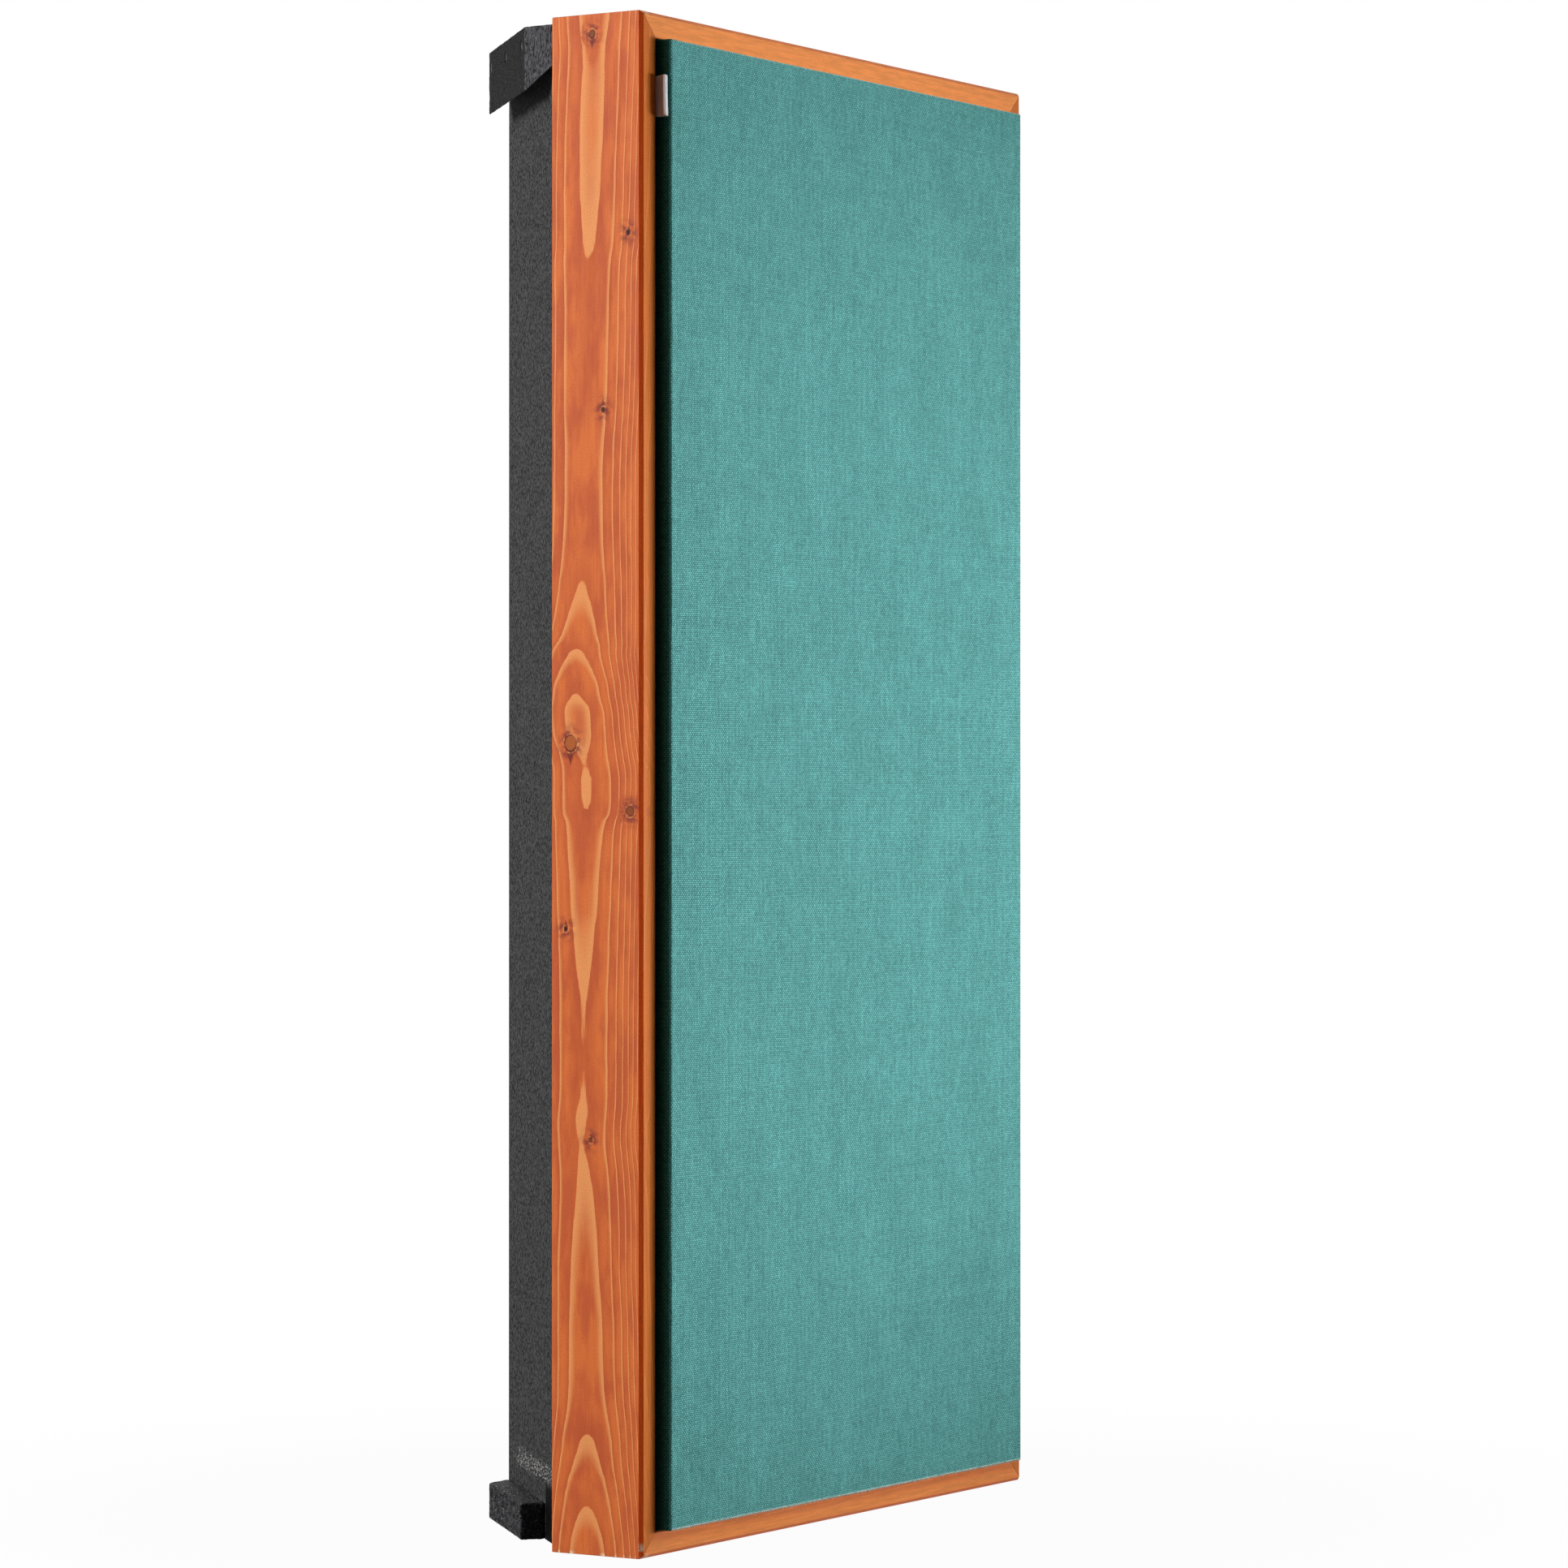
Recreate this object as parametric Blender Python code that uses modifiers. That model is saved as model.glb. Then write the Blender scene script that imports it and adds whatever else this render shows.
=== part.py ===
# Corner bass trap: a mitred pine frame holds a fabric-covered absorber pad, and behind it a black
# box with two slanted sides fills the corner of a room. Two hook cleats at the top hang it on
# bevelled wall battens, and two plain spacers at the bottom keep it upright on the same walls.
# Metres, +Z up, the pad faces -Y, and the origin is on the floor under the middle of the whole.

from math import asin, cos, pi, sin, sqrt

import bmesh
import bpy
from mathutils import Matrix, Vector

# Driving dimensions
GAP = 0.0003                 # kept between pieces that touch
FRAME_WIDTH = 0.600
FRAME_HEIGHT = 1.200
FRAME_DEPTH = 0.084
BOARD = 0.020                # thickness of the frame's boards
CHAMFER = 0.00275            # on the frame's outer front edges
ARRIS = 0.0008               # radius of its other long edges
PAD_PROUD = 0.013            # how far the pad stands in front of the frame
PAD_DEPTH = 0.050
PAD_SIDE_GAP = 0.0025        # shadow gap between pad and stiles
PAD_TOP_GAP = 0.0008
CLOTH = 0.0010               # thickness of the cover fabric
HEM = 0.025                  # turned over behind the pad's battens
PAD_EDGE = 0.0022            # radius of the pad's front edges
BATTEN = 0.020               # width of the battens inside the pad
STRIP = 0.018                # thickness of the strips that stop the pad
BOX_DEPTH = 0.139            # behind the frame
BOX_INSET = 0.0045           # of the box from the frame's outline, on all four sides
PANEL = 0.012                # thickness of the box's panels
SLAB = 0.050                 # thickness of an absorber slab
CLEAT_THICK = 0.020
CLEAT_TALL = 0.051
SPACER_TALL = 0.029
SPACER_START = 0.0385        # from the frame to the spacer's square end, along the slanted side
SCREW_HEAD = 0.0037
SCREW_SHANK = 0.0019
SCREW_SINK = 0.0008          # head below the surface
SCREW_COUNTERSINK = 0.0022

# Places that follow from them
HALF_WIDTH = FRAME_WIDTH / 2
TOTAL_DEPTH = PAD_PROUD + FRAME_DEPTH + BOX_DEPTH
PAD_FRONT = -TOTAL_DEPTH / 2
FRAME_FRONT = PAD_FRONT + PAD_PROUD
FRAME_REAR = FRAME_FRONT + FRAME_DEPTH
BOX_REAR = FRAME_REAR + BOX_DEPTH
PAD_REAR = PAD_FRONT + PAD_DEPTH
BOX_FLOOR = BOX_INSET
BOX_TOP = FRAME_HEIGHT - BOX_INSET
PAD_HALF = HALF_WIDTH - BOARD - PAD_SIDE_GAP
PAD_LOW = BOARD + GAP
PAD_HIGH = FRAME_HEIGHT - BOARD - PAD_TOP_GAP
BATTEN_OUT = PAD_HALF - CLOTH - GAP
BATTEN_IN = BATTEN_OUT - BATTEN
STRIP_OUT = HALF_WIDTH - BOARD - GAP
STRIP_IN = STRIP_OUT - STRIP
ROOT2 = sqrt(2.0)

pieces = bpy.data.collections.new("corner_bass_trap")
cutters = bpy.data.collections.new("cutters")


def clear_scene():
    """Take the default objects out and put the two collections in."""
    for old in list(bpy.data.objects):
        bpy.data.objects.remove(old, do_unlink=True)
    bpy.context.scene.collection.children.link(pieces)
    bpy.context.scene.collection.children.link(cutters)


def finish(name, colour, roughness, metallic=0.0):
    """A plain Principled material."""
    material = bpy.data.materials.new(name)
    material.use_nodes = True
    shader = material.node_tree.nodes["Principled BSDF"]
    shader.inputs["Base Color"].default_value = (*colour, 1.0)
    shader.inputs["Roughness"].default_value = roughness
    shader.inputs["Metallic"].default_value = metallic
    return material


PINE = finish("stained_pine", (0.60, 0.16, 0.045), 0.45)
RAW_WOOD = finish("raw_softwood", (0.62, 0.44, 0.25), 0.75)
BEECH = finish("pressed_beech", (0.55, 0.36, 0.20), 0.80)
TEAL = finish("teal_cloth", (0.09, 0.33, 0.29), 0.95)
BLACK_BOARD = finish("black_textured_board", (0.07, 0.07, 0.07), 0.70)
BLACK_WOOD = finish("black_batten", (0.06, 0.06, 0.06), 0.65)
WOOL = finish("mineral_wool", (0.45, 0.38, 0.20), 1.00)
STEEL = finish("blackened_steel", (0.05, 0.05, 0.05), 0.40, 1.0)
TAPE = finish("white_tape", (0.85, 0.84, 0.82), 0.90)


def add_piece(name, mesh, material, matrix=Matrix.Identity(4)):
    """A named sub-part with its own material, placed by its object's matrix."""
    obj = bpy.data.objects.new(name, mesh)
    obj.matrix_world = matrix
    mesh.materials.clear()
    mesh.materials.append(material.copy())
    mesh.materials[0].name = name
    pieces.objects.link(obj)
    return obj


def add_cutter(name, mesh, matrix=Matrix.Identity(4)):
    """A solid that only cuts others."""
    obj = bpy.data.objects.new(name, mesh)
    obj.matrix_world = matrix
    obj.hide_render = True
    obj.display_type = "WIRE"
    cutters.objects.link(obj)
    return obj


def cut(obj, cutter):
    """Boolean difference with the exact solver."""
    step = obj.modifiers.new(cutter.name, "BOOLEAN")
    step.operation = "DIFFERENCE"
    step.solver = "EXACT"
    step.object = cutter


def evaluated_mesh(obj):
    """The object's mesh with its modifiers applied; the object itself is removed."""
    bpy.context.view_layer.update()
    state = obj.evaluated_get(bpy.context.evaluated_depsgraph_get())
    mesh = bpy.data.meshes.new_from_object(state)
    bpy.data.objects.remove(obj, do_unlink=True)
    return mesh


def prism(outline, thickness):
    """A flat outline in local XY, filled and extruded from z = 0 up to its thickness."""
    curve = bpy.data.curves.new("outline", "CURVE")
    curve.dimensions = "2D"
    curve.fill_mode = "BOTH"
    curve.extrude = thickness / 2
    spline = curve.splines.new("POLY")
    spline.points.add(len(outline) - 1)
    for point, (x, y) in zip(spline.points, outline):
        point.co = (x, y, 0.0, 1.0)
    spline.use_cyclic_u = True
    obj = bpy.data.objects.new("outline", curve)
    pieces.objects.link(obj)
    mesh = evaluated_mesh(obj)
    form = bmesh.new()
    form.from_mesh(mesh)
    bmesh.ops.remove_doubles(form, verts=form.verts, dist=0.00001)
    bmesh.ops.translate(form, verts=form.verts, vec=(0.0, 0.0, thickness / 2))
    bmesh.ops.dissolve_limit(form, angle_limit=0.001, verts=form.verts, edges=form.edges)
    bmesh.ops.recalc_face_normals(form, faces=form.faces)
    form.to_mesh(mesh)
    form.free()
    return mesh


def saw(mesh, point, normal):
    """Saw off what lies on the normal's side of a plane, and close the sawn end."""
    form = bmesh.new()
    form.from_mesh(mesh)
    everything = list(form.verts) + list(form.edges) + list(form.faces)
    bmesh.ops.bisect_plane(form, geom=everything, plane_co=point, plane_no=normal, clear_outer=True)
    rim = [edge for edge in form.edges if edge.is_boundary]
    bmesh.ops.edgeloop_fill(form, edges=rim)
    bmesh.ops.recalc_face_normals(form, faces=form.faces)
    form.to_mesh(mesh)
    form.free()
    return mesh


def turned(profile, steps):
    """A round solid from its outer profile, listed from top to bottom as (radius, z)."""
    mesh = bpy.data.meshes.new("profile")
    edges = [(i, i + 1) for i in range(len(profile) - 1)]
    mesh.from_pydata([(r, 0.0, z) for r, z in profile], edges, [])
    obj = bpy.data.objects.new("profile", mesh)
    pieces.objects.link(obj)
    screw = obj.modifiers.new("turn", "SCREW")
    screw.angle = 2 * pi
    screw.steps = steps
    screw.render_steps = steps
    screw.use_merge_vertices = True
    screw.merge_threshold = 0.00005
    return evaluated_mesh(obj)


def repeated(mesh, places):
    """One cutter mesh that holds a copy of the master at every place."""
    form = bmesh.new()
    for place in places:
        first = len(form.verts)
        form.from_mesh(mesh)
        form.verts.ensure_lookup_table()
        bmesh.ops.transform(form, matrix=place, verts=form.verts[first:])
    result = bpy.data.meshes.new("group")
    form.to_mesh(result)
    form.free()
    return result


def mirrored(mesh, matrix):
    """The same solid on the other side of the middle plane, in world coordinates."""
    twin = mesh.copy()
    form = bmesh.new()
    form.from_mesh(twin)
    bmesh.ops.transform(form, matrix=Matrix.Diagonal((-1, 1, 1, 1)) @ matrix, verts=form.verts)
    bmesh.ops.reverse_faces(form, faces=form.faces)
    form.to_mesh(twin)
    form.free()
    return twin


def cuboid(low, high):
    """A plain box between two corners."""
    mesh = bpy.data.meshes.new("cuboid")
    form = bmesh.new()
    size = Vector(high) - Vector(low)
    middle = (Vector(high) + Vector(low)) / 2
    bmesh.ops.create_cube(form, size=1.0, matrix=Matrix.Translation(middle) @ Matrix.Diagonal((*size, 1.0)))
    form.to_mesh(mesh)
    form.free()
    return mesh


def facing(place, outward):
    """A matrix at a place whose local Z points outward."""
    turn = Vector(outward).to_track_quat("Z", "Y").to_matrix().to_4x4()
    return Matrix.Translation(place) @ turn


def both_sides(seats):
    """The given (name, place, outward) seats on the left, and their mirror images."""
    pairs = []
    for name, (x, y, z), (a, b, c) in seats:
        pairs.append((name + "_left", (x, y, z), (a, b, c)))
        pairs.append((name + "_right", (-x, y, z), (-a, b, c)))
    return pairs


def add_pair(stem, mesh, material, matrix=Matrix.Identity(4)):
    """A piece on the left and its mirror image on the right."""
    left = add_piece(stem + "_left", mesh, material, matrix)
    right = add_piece(stem + "_right", mirrored(mesh, matrix), material)
    return left, right


def wood_screw(length):
    """A countersunk screw: flat head at z = 0, shank and point below it."""
    neck = -SCREW_COUNTERSINK
    point_start = -length + 2.0 * SCREW_SHANK
    outline = [(0.0, 0.0), (SCREW_HEAD, 0.0), (SCREW_HEAD, -0.0004), (SCREW_SHANK, neck)]
    outline += [(SCREW_SHANK, point_start), (0.0, -length)]
    return turned(outline, 10)


def screw_bore(length):
    """The countersunk hole for that screw, open above its head."""
    head = SCREW_HEAD + GAP
    shank = SCREW_SHANK + GAP
    neck = -SCREW_COUNTERSINK - GAP
    outline = [(0.0, 0.004), (head, 0.004), (head, -0.0004), (shank, neck)]
    outline += [(shank, -length - GAP), (0.0, -length - GAP)]
    return turned(outline, 10)


def drive_screws(length, seats, drilled):
    """Screws sunk into their seats, and the holes that they need in the pieces they join."""
    screw = wood_screw(length)
    places = []
    for name, at, out in seats:
        place = facing(Vector(at) - Vector(out).normalized() * SCREW_SINK, out)
        add_piece(name, screw.copy(), STEEL, place)
        places.append(place)
    bores = add_cutter(seats[0][0] + "_bores", repeated(screw_bore(length), places))
    for obj in drilled:
        cut(obj, bores)


def rounded_corner(x, y, turn):
    """Three points on the arc that softens a corner; it starts at that many quarter turns."""
    inward = (turn + 2) * pi / 2 + pi / 4
    middle_x = x + ARRIS * ROOT2 * cos(inward)
    middle_y = y + ARRIS * ROOT2 * sin(inward)
    angles = [(turn + step / 2) * pi / 2 for step in range(3)]
    return [(middle_x + ARRIS * cos(angle), middle_y + ARRIS * sin(angle)) for angle in angles]


def frame_board(name, length, corner, turn):
    """A board moulded with a chamfer on its outer front edge and mitred at both ends.

    Local x runs from the outer face inward, y from the front to the rear, z along the board."""
    outline = [(0.0, CHAMFER), (CHAMFER, 0.0)]
    outline += rounded_corner(BOARD, 0.0, -1)
    outline += rounded_corner(BOARD, FRAME_DEPTH, 0)
    outline += rounded_corner(0.0, FRAME_DEPTH, 1)
    mesh = prism(outline, length)
    slack = GAP / 2 * ROOT2
    saw(mesh, (0.0, 0.0, slack), (1.0, 0.0, -1.0))
    saw(mesh, (0.0, 0.0, length - slack), (1.0, 0.0, 1.0))
    place = Matrix.Translation((corner[0], FRAME_FRONT, corner[1])) @ Matrix.Rotation(turn, 4, "Y")
    return add_piece(name, mesh, PINE, place)


def lens(length, width, points):
    """The outline of a biscuit: two equal arcs that meet at its blunt ends."""
    blunt = width * 0.30
    rise = (width - blunt) / 2
    radius = (length * length / 4 + rise * rise) / (2 * rise)
    half_angle = asin(length / 2 / radius)
    upper = []
    for i in range(points):
        angle = half_angle * (1 - 2 * i / (points - 1))
        upper.append((radius * sin(angle), radius * cos(angle) - radius + width / 2))
    return upper + [(-x, -y) for x, y in upper]


def corner_biscuits(boards):
    """A pressed biscuit glued across each mitre, and its slots in the two boards."""
    length, width, thick = 0.047, 0.015, 0.004
    solid = prism(lens(length, width, 7), thick)
    slot = prism(lens(length + 2 * GAP, width + 2 * GAP, 7), thick + 2 * GAP)
    y = FRAME_FRONT + FRAME_DEPTH / 2
    cuts = []
    for side, side_name in ((-1, "left"), (1, "right")):
        for end, end_name in ((-1, "bottom"), (1, "top")):
            x = side * (HALF_WIDTH - BOARD / 2)
            z = FRAME_HEIGHT / 2 + end * (FRAME_HEIGHT - BOARD) / 2
            across = Vector((1.0, 0.0, -side * end)).normalized()
            depth = Vector((0.0, 1.0, 0.0))
            normal = depth.cross(across)
            turn = Matrix((depth, across, normal)).transposed().to_4x4()
            middle = Vector((x, y, z))
            add_piece("biscuit_" + end_name + "_" + side_name, solid.copy(), BEECH,
                      Matrix.Translation(middle - normal * thick / 2) @ turn)
            cuts.append(Matrix.Translation(middle - normal * (thick / 2 + GAP)) @ turn)
    slots = add_cutter("biscuit_slots", repeated(slot, cuts))
    for board in boards:
        cut(board, slots)


def side_line(offset):
    """y of a plan line parallel to the left side panel, at x = 0.

    The offset is measured square to the panel, outward from its outer face."""
    return FRAME_REAR + HALF_WIDTH - BOX_INSET + offset * ROOT2


def on_side(x, offset):
    """A plan point over the left side panel, by its x and its offset from the outer face."""
    return (x, x + side_line(offset))


def side_at(y, offset):
    """The plan point of such a line at a given y."""
    return (y - side_line(offset), y)


def build_frame():
    """Two stiles and two rails, joined with biscuits."""
    left = frame_board("frame_stile_left", FRAME_HEIGHT, (-HALF_WIDTH, 0.0), 0.0)
    right = frame_board("frame_stile_right", FRAME_HEIGHT, (HALF_WIDTH, FRAME_HEIGHT), pi)
    top = frame_board("frame_rail_top", FRAME_WIDTH, (-HALF_WIDTH, FRAME_HEIGHT), pi / 2)
    bottom = frame_board("frame_rail_bottom", FRAME_WIDTH, (HALF_WIDTH, 0.0), -pi / 2)
    corner_biscuits([left, right, top, bottom])
    return left, right, top, bottom


def build_strips(boards):
    """Strips screwed inside the frame: they stop the pad, and the long ones carry the box's sides."""
    left, right, top, bottom = boards
    front = PAD_REAR + GAP
    bevel = -PANEL - GAP
    outline = [(-STRIP_OUT, front), (-STRIP_IN, front)]
    outline += [on_side(-STRIP_IN, bevel), on_side(-STRIP_OUT, bevel)]
    low = BOARD + GAP
    tall = FRAME_HEIGHT - 2 * low
    side_strips = add_pair("strip", prism(outline, tall), RAW_WOOD, Matrix.Translation((0, 0, low)))
    reach = STRIP_IN - GAP
    rear = FRAME_REAR - GAP
    lower = cuboid((-reach, front, low), (reach, rear, low + STRIP))
    upper = cuboid((-reach, front, FRAME_HEIGHT - low - STRIP), (reach, rear, FRAME_HEIGHT - low))
    end_strips = [add_piece("strip_bottom", lower, RAW_WOOD), add_piece("strip_top", upper, RAW_WOOD)]
    middle = (front + FRAME_REAR) / 2
    seats = []
    for i in range(4):
        z = 0.10 + i * (FRAME_HEIGHT - 0.20) / 3
        seats.append(("strip_screw_" + str(i + 1), (-STRIP_IN, middle, z), (1, 0, 0)))
    seats.append(("strip_screw_bottom", (-0.17, middle, low + STRIP), (0, 0, 1)))
    seats.append(("strip_screw_top", (-0.17, middle, FRAME_HEIGHT - low - STRIP), (0, 0, -1)))
    drive_screws(0.030, both_sides(seats), [*side_strips, *end_strips, *boards])


def pad_cover():
    """The cover: front, four sides and the hem behind, as one skin with rounded front edges."""
    mesh = cuboid((-PAD_HALF, PAD_FRONT, PAD_LOW), (PAD_HALF, PAD_REAR, PAD_HIGH))
    form = bmesh.new()
    form.from_mesh(mesh)
    rear = [face for face in form.faces if face.normal.y > 0.9]
    bmesh.ops.inset_region(form, faces=rear, thickness=HEM, use_even_offset=True)
    bmesh.ops.delete(form, geom=rear, context="FACES")
    edges = [edge for edge in form.edges if not edge.is_boundary and edge.calc_face_angle(0.0) > 1.0]
    bmesh.ops.bevel(form, geom=edges, offset=PAD_EDGE, segments=3, profile=0.5, affect="EDGES")
    form.to_mesh(mesh)
    form.free()
    obj = add_piece("pad_cover", mesh, TEAL)
    skin = obj.modifiers.new("cloth", "SOLIDIFY")
    skin.thickness = CLOTH
    skin.offset = -1.0
    skin.use_even_offset = True
    return obj


def build_pad():
    """The pad: a cover stretched over four battens and a slab, with its hem behind."""
    front = PAD_FRONT + CLOTH + GAP
    rear = PAD_REAR - CLOTH - GAP
    low = PAD_LOW + CLOTH + GAP
    high = PAD_HIGH - CLOTH - GAP
    pad_cover()
    side = cuboid((-BATTEN_OUT, front, low + BATTEN + GAP), (-BATTEN_IN, rear, high - BATTEN - GAP))
    battens = list(add_pair("pad_batten", side, RAW_WOOD))
    lower = cuboid((-BATTEN_OUT, front, low), (BATTEN_OUT, rear, low + BATTEN))
    upper = cuboid((-BATTEN_OUT, front, high - BATTEN), (BATTEN_OUT, rear, high))
    battens.append(add_piece("pad_batten_bottom", lower, RAW_WOOD))
    battens.append(add_piece("pad_batten_top", upper, RAW_WOOD))
    for batten in battens:
        arris = batten.modifiers.new("arris", "BEVEL")
        arris.width = PAD_EDGE
        arris.segments = 1
        arris.limit_method = "ANGLE"
    inside = BATTEN_IN - GAP
    slab = cuboid((-inside, front, low + BATTEN + GAP), (inside, rear, high - BATTEN - GAP))
    add_piece("pad_slab", slab, WOOL)


def build_box():
    """The rear box: two slanted sides mitred to the back, with a top and a bottom between them."""
    tall = BOX_TOP - BOX_FLOOR
    start = FRAME_REAR + GAP
    inner_rear = BOX_REAR - PANEL
    up = Matrix.Translation((0, 0, BOX_FLOOR))
    mitre_out = Vector(side_at(BOX_REAR, 0.0))
    mitre_in = Vector(side_at(inner_rear, -PANEL))
    seam = Vector((GAP / 2, 0.0))
    side = [side_at(start, 0.0), tuple(mitre_out - seam), tuple(mitre_in - seam), side_at(start, -PANEL)]
    left, right = add_pair("box_side", prism(side, tall), BLACK_BOARD, up)
    back = [tuple(mitre_out + seam), tuple(mitre_in + seam)]
    back += [(-x, y) for x, y in reversed(back)]
    add_piece("box_back", prism(back, tall), BLACK_BOARD, up)
    lid = [side_at(start, -PANEL - GAP), side_at(inner_rear - GAP, -PANEL - GAP)]
    lid += [(-x, y) for x, y in reversed(lid)]
    add_piece("box_bottom", prism(lid, PANEL), BLACK_BOARD, up)
    add_piece("box_top", prism(lid, PANEL), BLACK_BOARD, Matrix.Translation((0, 0, BOX_TOP - PANEL)))
    return left, right


def build_absorber():
    """Three mineral wool slabs behind the pad, cut to the slant of the box."""
    edge = -PANEL - GAP
    rear = BOX_REAR - PANEL - GAP
    for name in ("absorber_rear", "absorber_middle", "absorber_front"):
        front = rear - SLAB
        if name == "absorber_front":
            clear = STRIP_IN - GAP
            low = BOARD + STRIP + 2 * GAP
            outline = [(-clear, front), on_side(-clear, edge), side_at(rear, edge)]
        else:
            low = BOX_FLOOR + PANEL + GAP
            outline = [side_at(front, edge), side_at(rear, edge)]
        outline += [(-x, y) for x, y in reversed(outline)]
        tall = FRAME_HEIGHT - 2 * low
        add_piece(name, prism(outline, tall), WOOL, Matrix.Translation((0, 0, low)))
        rear = front - GAP


def batten_on_side(section, low):
    """A batten lying along the left side panel, too long at both ends.

    Its section is listed as (offset from the panel, height), and it starts ahead of the frame's rear."""
    along = Vector((1.0, 1.0, 0.0)).normalized()
    outward = Vector((-1.0, 1.0, 0.0)).normalized()
    start = Vector((*side_at(FRAME_REAR - 0.05, 0.0), low))
    turn = Matrix((outward, Vector((0.0, 0.0, 1.0)), along)).transposed().to_4x4()
    mesh = prism(section, 0.30)
    mesh.transform(Matrix.Translation(start) @ turn)
    return mesh


def build_cleats():
    """Hook cleats at the top: battens whose underside is bevelled, low on the wall side."""
    section = [(GAP, CLEAT_TALL), (GAP + CLEAT_THICK, CLEAT_TALL), (GAP + CLEAT_THICK, 0.0)]
    section += [(GAP, CLEAT_THICK)]
    mesh = batten_on_side(section, BOX_TOP - CLEAT_TALL)
    saw(mesh, (-HALF_WIDTH + BOX_INSET, 0.0, 0.0), (-1.0, 0.0, 0.0))
    saw(mesh, (0.0, BOX_REAR, 0.0), (0.0, 1.0, 0.0))
    return add_pair("hook_cleat", mesh, BLACK_WOOD)


def build_spacers():
    """Plain spacers at the bottom, square at the front end and flush with the back."""
    section = [(GAP, 0.0), (GAP + CLEAT_THICK, 0.0), (GAP + CLEAT_THICK, SPACER_TALL), (GAP, SPACER_TALL)]
    mesh = batten_on_side(section, BOX_FLOOR)
    along = Vector((1.0, 1.0, 0.0)).normalized()
    square_end = Vector((*side_at(FRAME_REAR, 0.0), 0.0)) + along * SPACER_START
    saw(mesh, square_end, -along)
    saw(mesh, (0.0, BOX_REAR, 0.0), (0.0, 1.0, 0.0))
    return add_pair("wall_spacer", mesh, BLACK_WOOD)


def build_wall_side(box_sides):
    """Cleats and spacers, screwed through into the box's sides."""
    cleats = build_cleats()
    spacers = build_spacers()
    face = GAP + CLEAT_THICK
    out = (-1.0, 1.0, 0.0)
    height = BOX_TOP - 0.013
    seats = []
    for i, x in enumerate((0.0155, 0.0630, 0.1100)):
        seats.append(("cleat_screw_" + str(i + 1), (*on_side(x - HALF_WIDTH, face), height), out))
    drive_screws(0.030, both_sides(seats), [*cleats, *box_sides])
    height = BOX_FLOOR + 0.0135
    seats = []
    for i, x in enumerate((0.0710, 0.1030)):
        seats.append(("spacer_screw_" + str(i + 1), (*on_side(x - HALF_WIDTH, face), height), out))
    drive_screws(0.030, both_sides(seats), [*spacers, *box_sides])


def build_tag():
    """A blank woven tag on the pad's left side, tucked into the shadow gap."""
    tall, fold = 0.0315, 0.0005
    low = 1.1190
    tip = PAD_FRONT + 0.0008
    root = FRAME_FRONT + 0.012
    outline = [(tip, 0.0), (root, 0.0), (root, tall), (tip + 0.0020, tall), (tip, tall - 0.010)]
    mesh = prism(outline, fold)
    spot = Vector((-PAD_HALF - GAP - fold, 0.0, low))
    basis = Matrix(((0, 1, 0), (0, 0, 1), (1, 0, 0))).transposed()
    add_piece("side_tag", mesh, TAPE, Matrix.Translation(spot) @ basis.to_4x4())


clear_scene()
boards = build_frame()
build_strips(boards)
build_pad()
box_sides = build_box()
build_absorber()
build_wall_side(box_sides)
build_tag()
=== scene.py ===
"""The finish of a corner bass trap: a stained pine frame, a teal pad and a black box behind."""

import math
from functools import reduce
from itertools import product

import bpy
import numpy as np
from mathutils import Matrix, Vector


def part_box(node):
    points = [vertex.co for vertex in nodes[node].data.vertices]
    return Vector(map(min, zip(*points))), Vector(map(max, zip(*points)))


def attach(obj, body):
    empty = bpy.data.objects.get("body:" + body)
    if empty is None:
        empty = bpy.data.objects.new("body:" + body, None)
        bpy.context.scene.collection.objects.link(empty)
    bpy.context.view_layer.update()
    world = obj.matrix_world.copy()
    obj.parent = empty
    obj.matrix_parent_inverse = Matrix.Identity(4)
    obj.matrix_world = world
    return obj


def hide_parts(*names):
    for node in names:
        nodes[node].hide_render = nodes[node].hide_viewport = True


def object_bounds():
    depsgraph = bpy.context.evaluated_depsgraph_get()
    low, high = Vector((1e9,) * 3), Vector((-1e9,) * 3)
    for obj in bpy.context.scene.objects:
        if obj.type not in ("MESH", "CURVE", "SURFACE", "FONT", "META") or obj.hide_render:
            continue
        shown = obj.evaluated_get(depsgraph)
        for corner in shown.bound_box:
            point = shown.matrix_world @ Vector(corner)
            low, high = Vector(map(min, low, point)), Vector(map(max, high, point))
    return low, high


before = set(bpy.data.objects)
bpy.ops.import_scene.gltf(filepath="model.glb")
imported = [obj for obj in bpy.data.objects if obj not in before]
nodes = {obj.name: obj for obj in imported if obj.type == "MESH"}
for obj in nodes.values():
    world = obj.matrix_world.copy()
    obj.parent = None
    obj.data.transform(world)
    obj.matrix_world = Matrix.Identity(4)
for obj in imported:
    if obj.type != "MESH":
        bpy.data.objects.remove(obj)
cad_low, cad_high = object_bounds()


# The frame: four planed pine boards, mitred at the corners and stained orange-brown. The stain
# sinks into the soft early wood and hardly into the late wood, so the rings show as pale lines,
# arches and flames. Each board keeps its own figure: where its rings reach the face, and its knots.

def paint(red, green, blue):
    """A colour as it is seen, 0 to 255 a channel, as the linear one that a shader takes."""
    seen = np.array([red, green, blue]) / 255
    linear = np.where(seen <= 0.04045, seen / 12.92, ((seen + 0.055) / 1.055) ** 2.4)
    return (*linear.tolist(), 1.0)


def add_node(tree, kind, inputs=None, **settings):
    """Adds a node, sets its properties, then links or sets the inputs given as {socket: value}."""
    made = tree.nodes.new(kind)
    for name, value in settings.items():
        setattr(made, name, value)
    for socket, value in (inputs or {}).items():
        if isinstance(value, bpy.types.NodeSocket):
            tree.links.new(value, made.inputs[socket])
        else:
            made.inputs[socket].default_value = value
    return made


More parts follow.
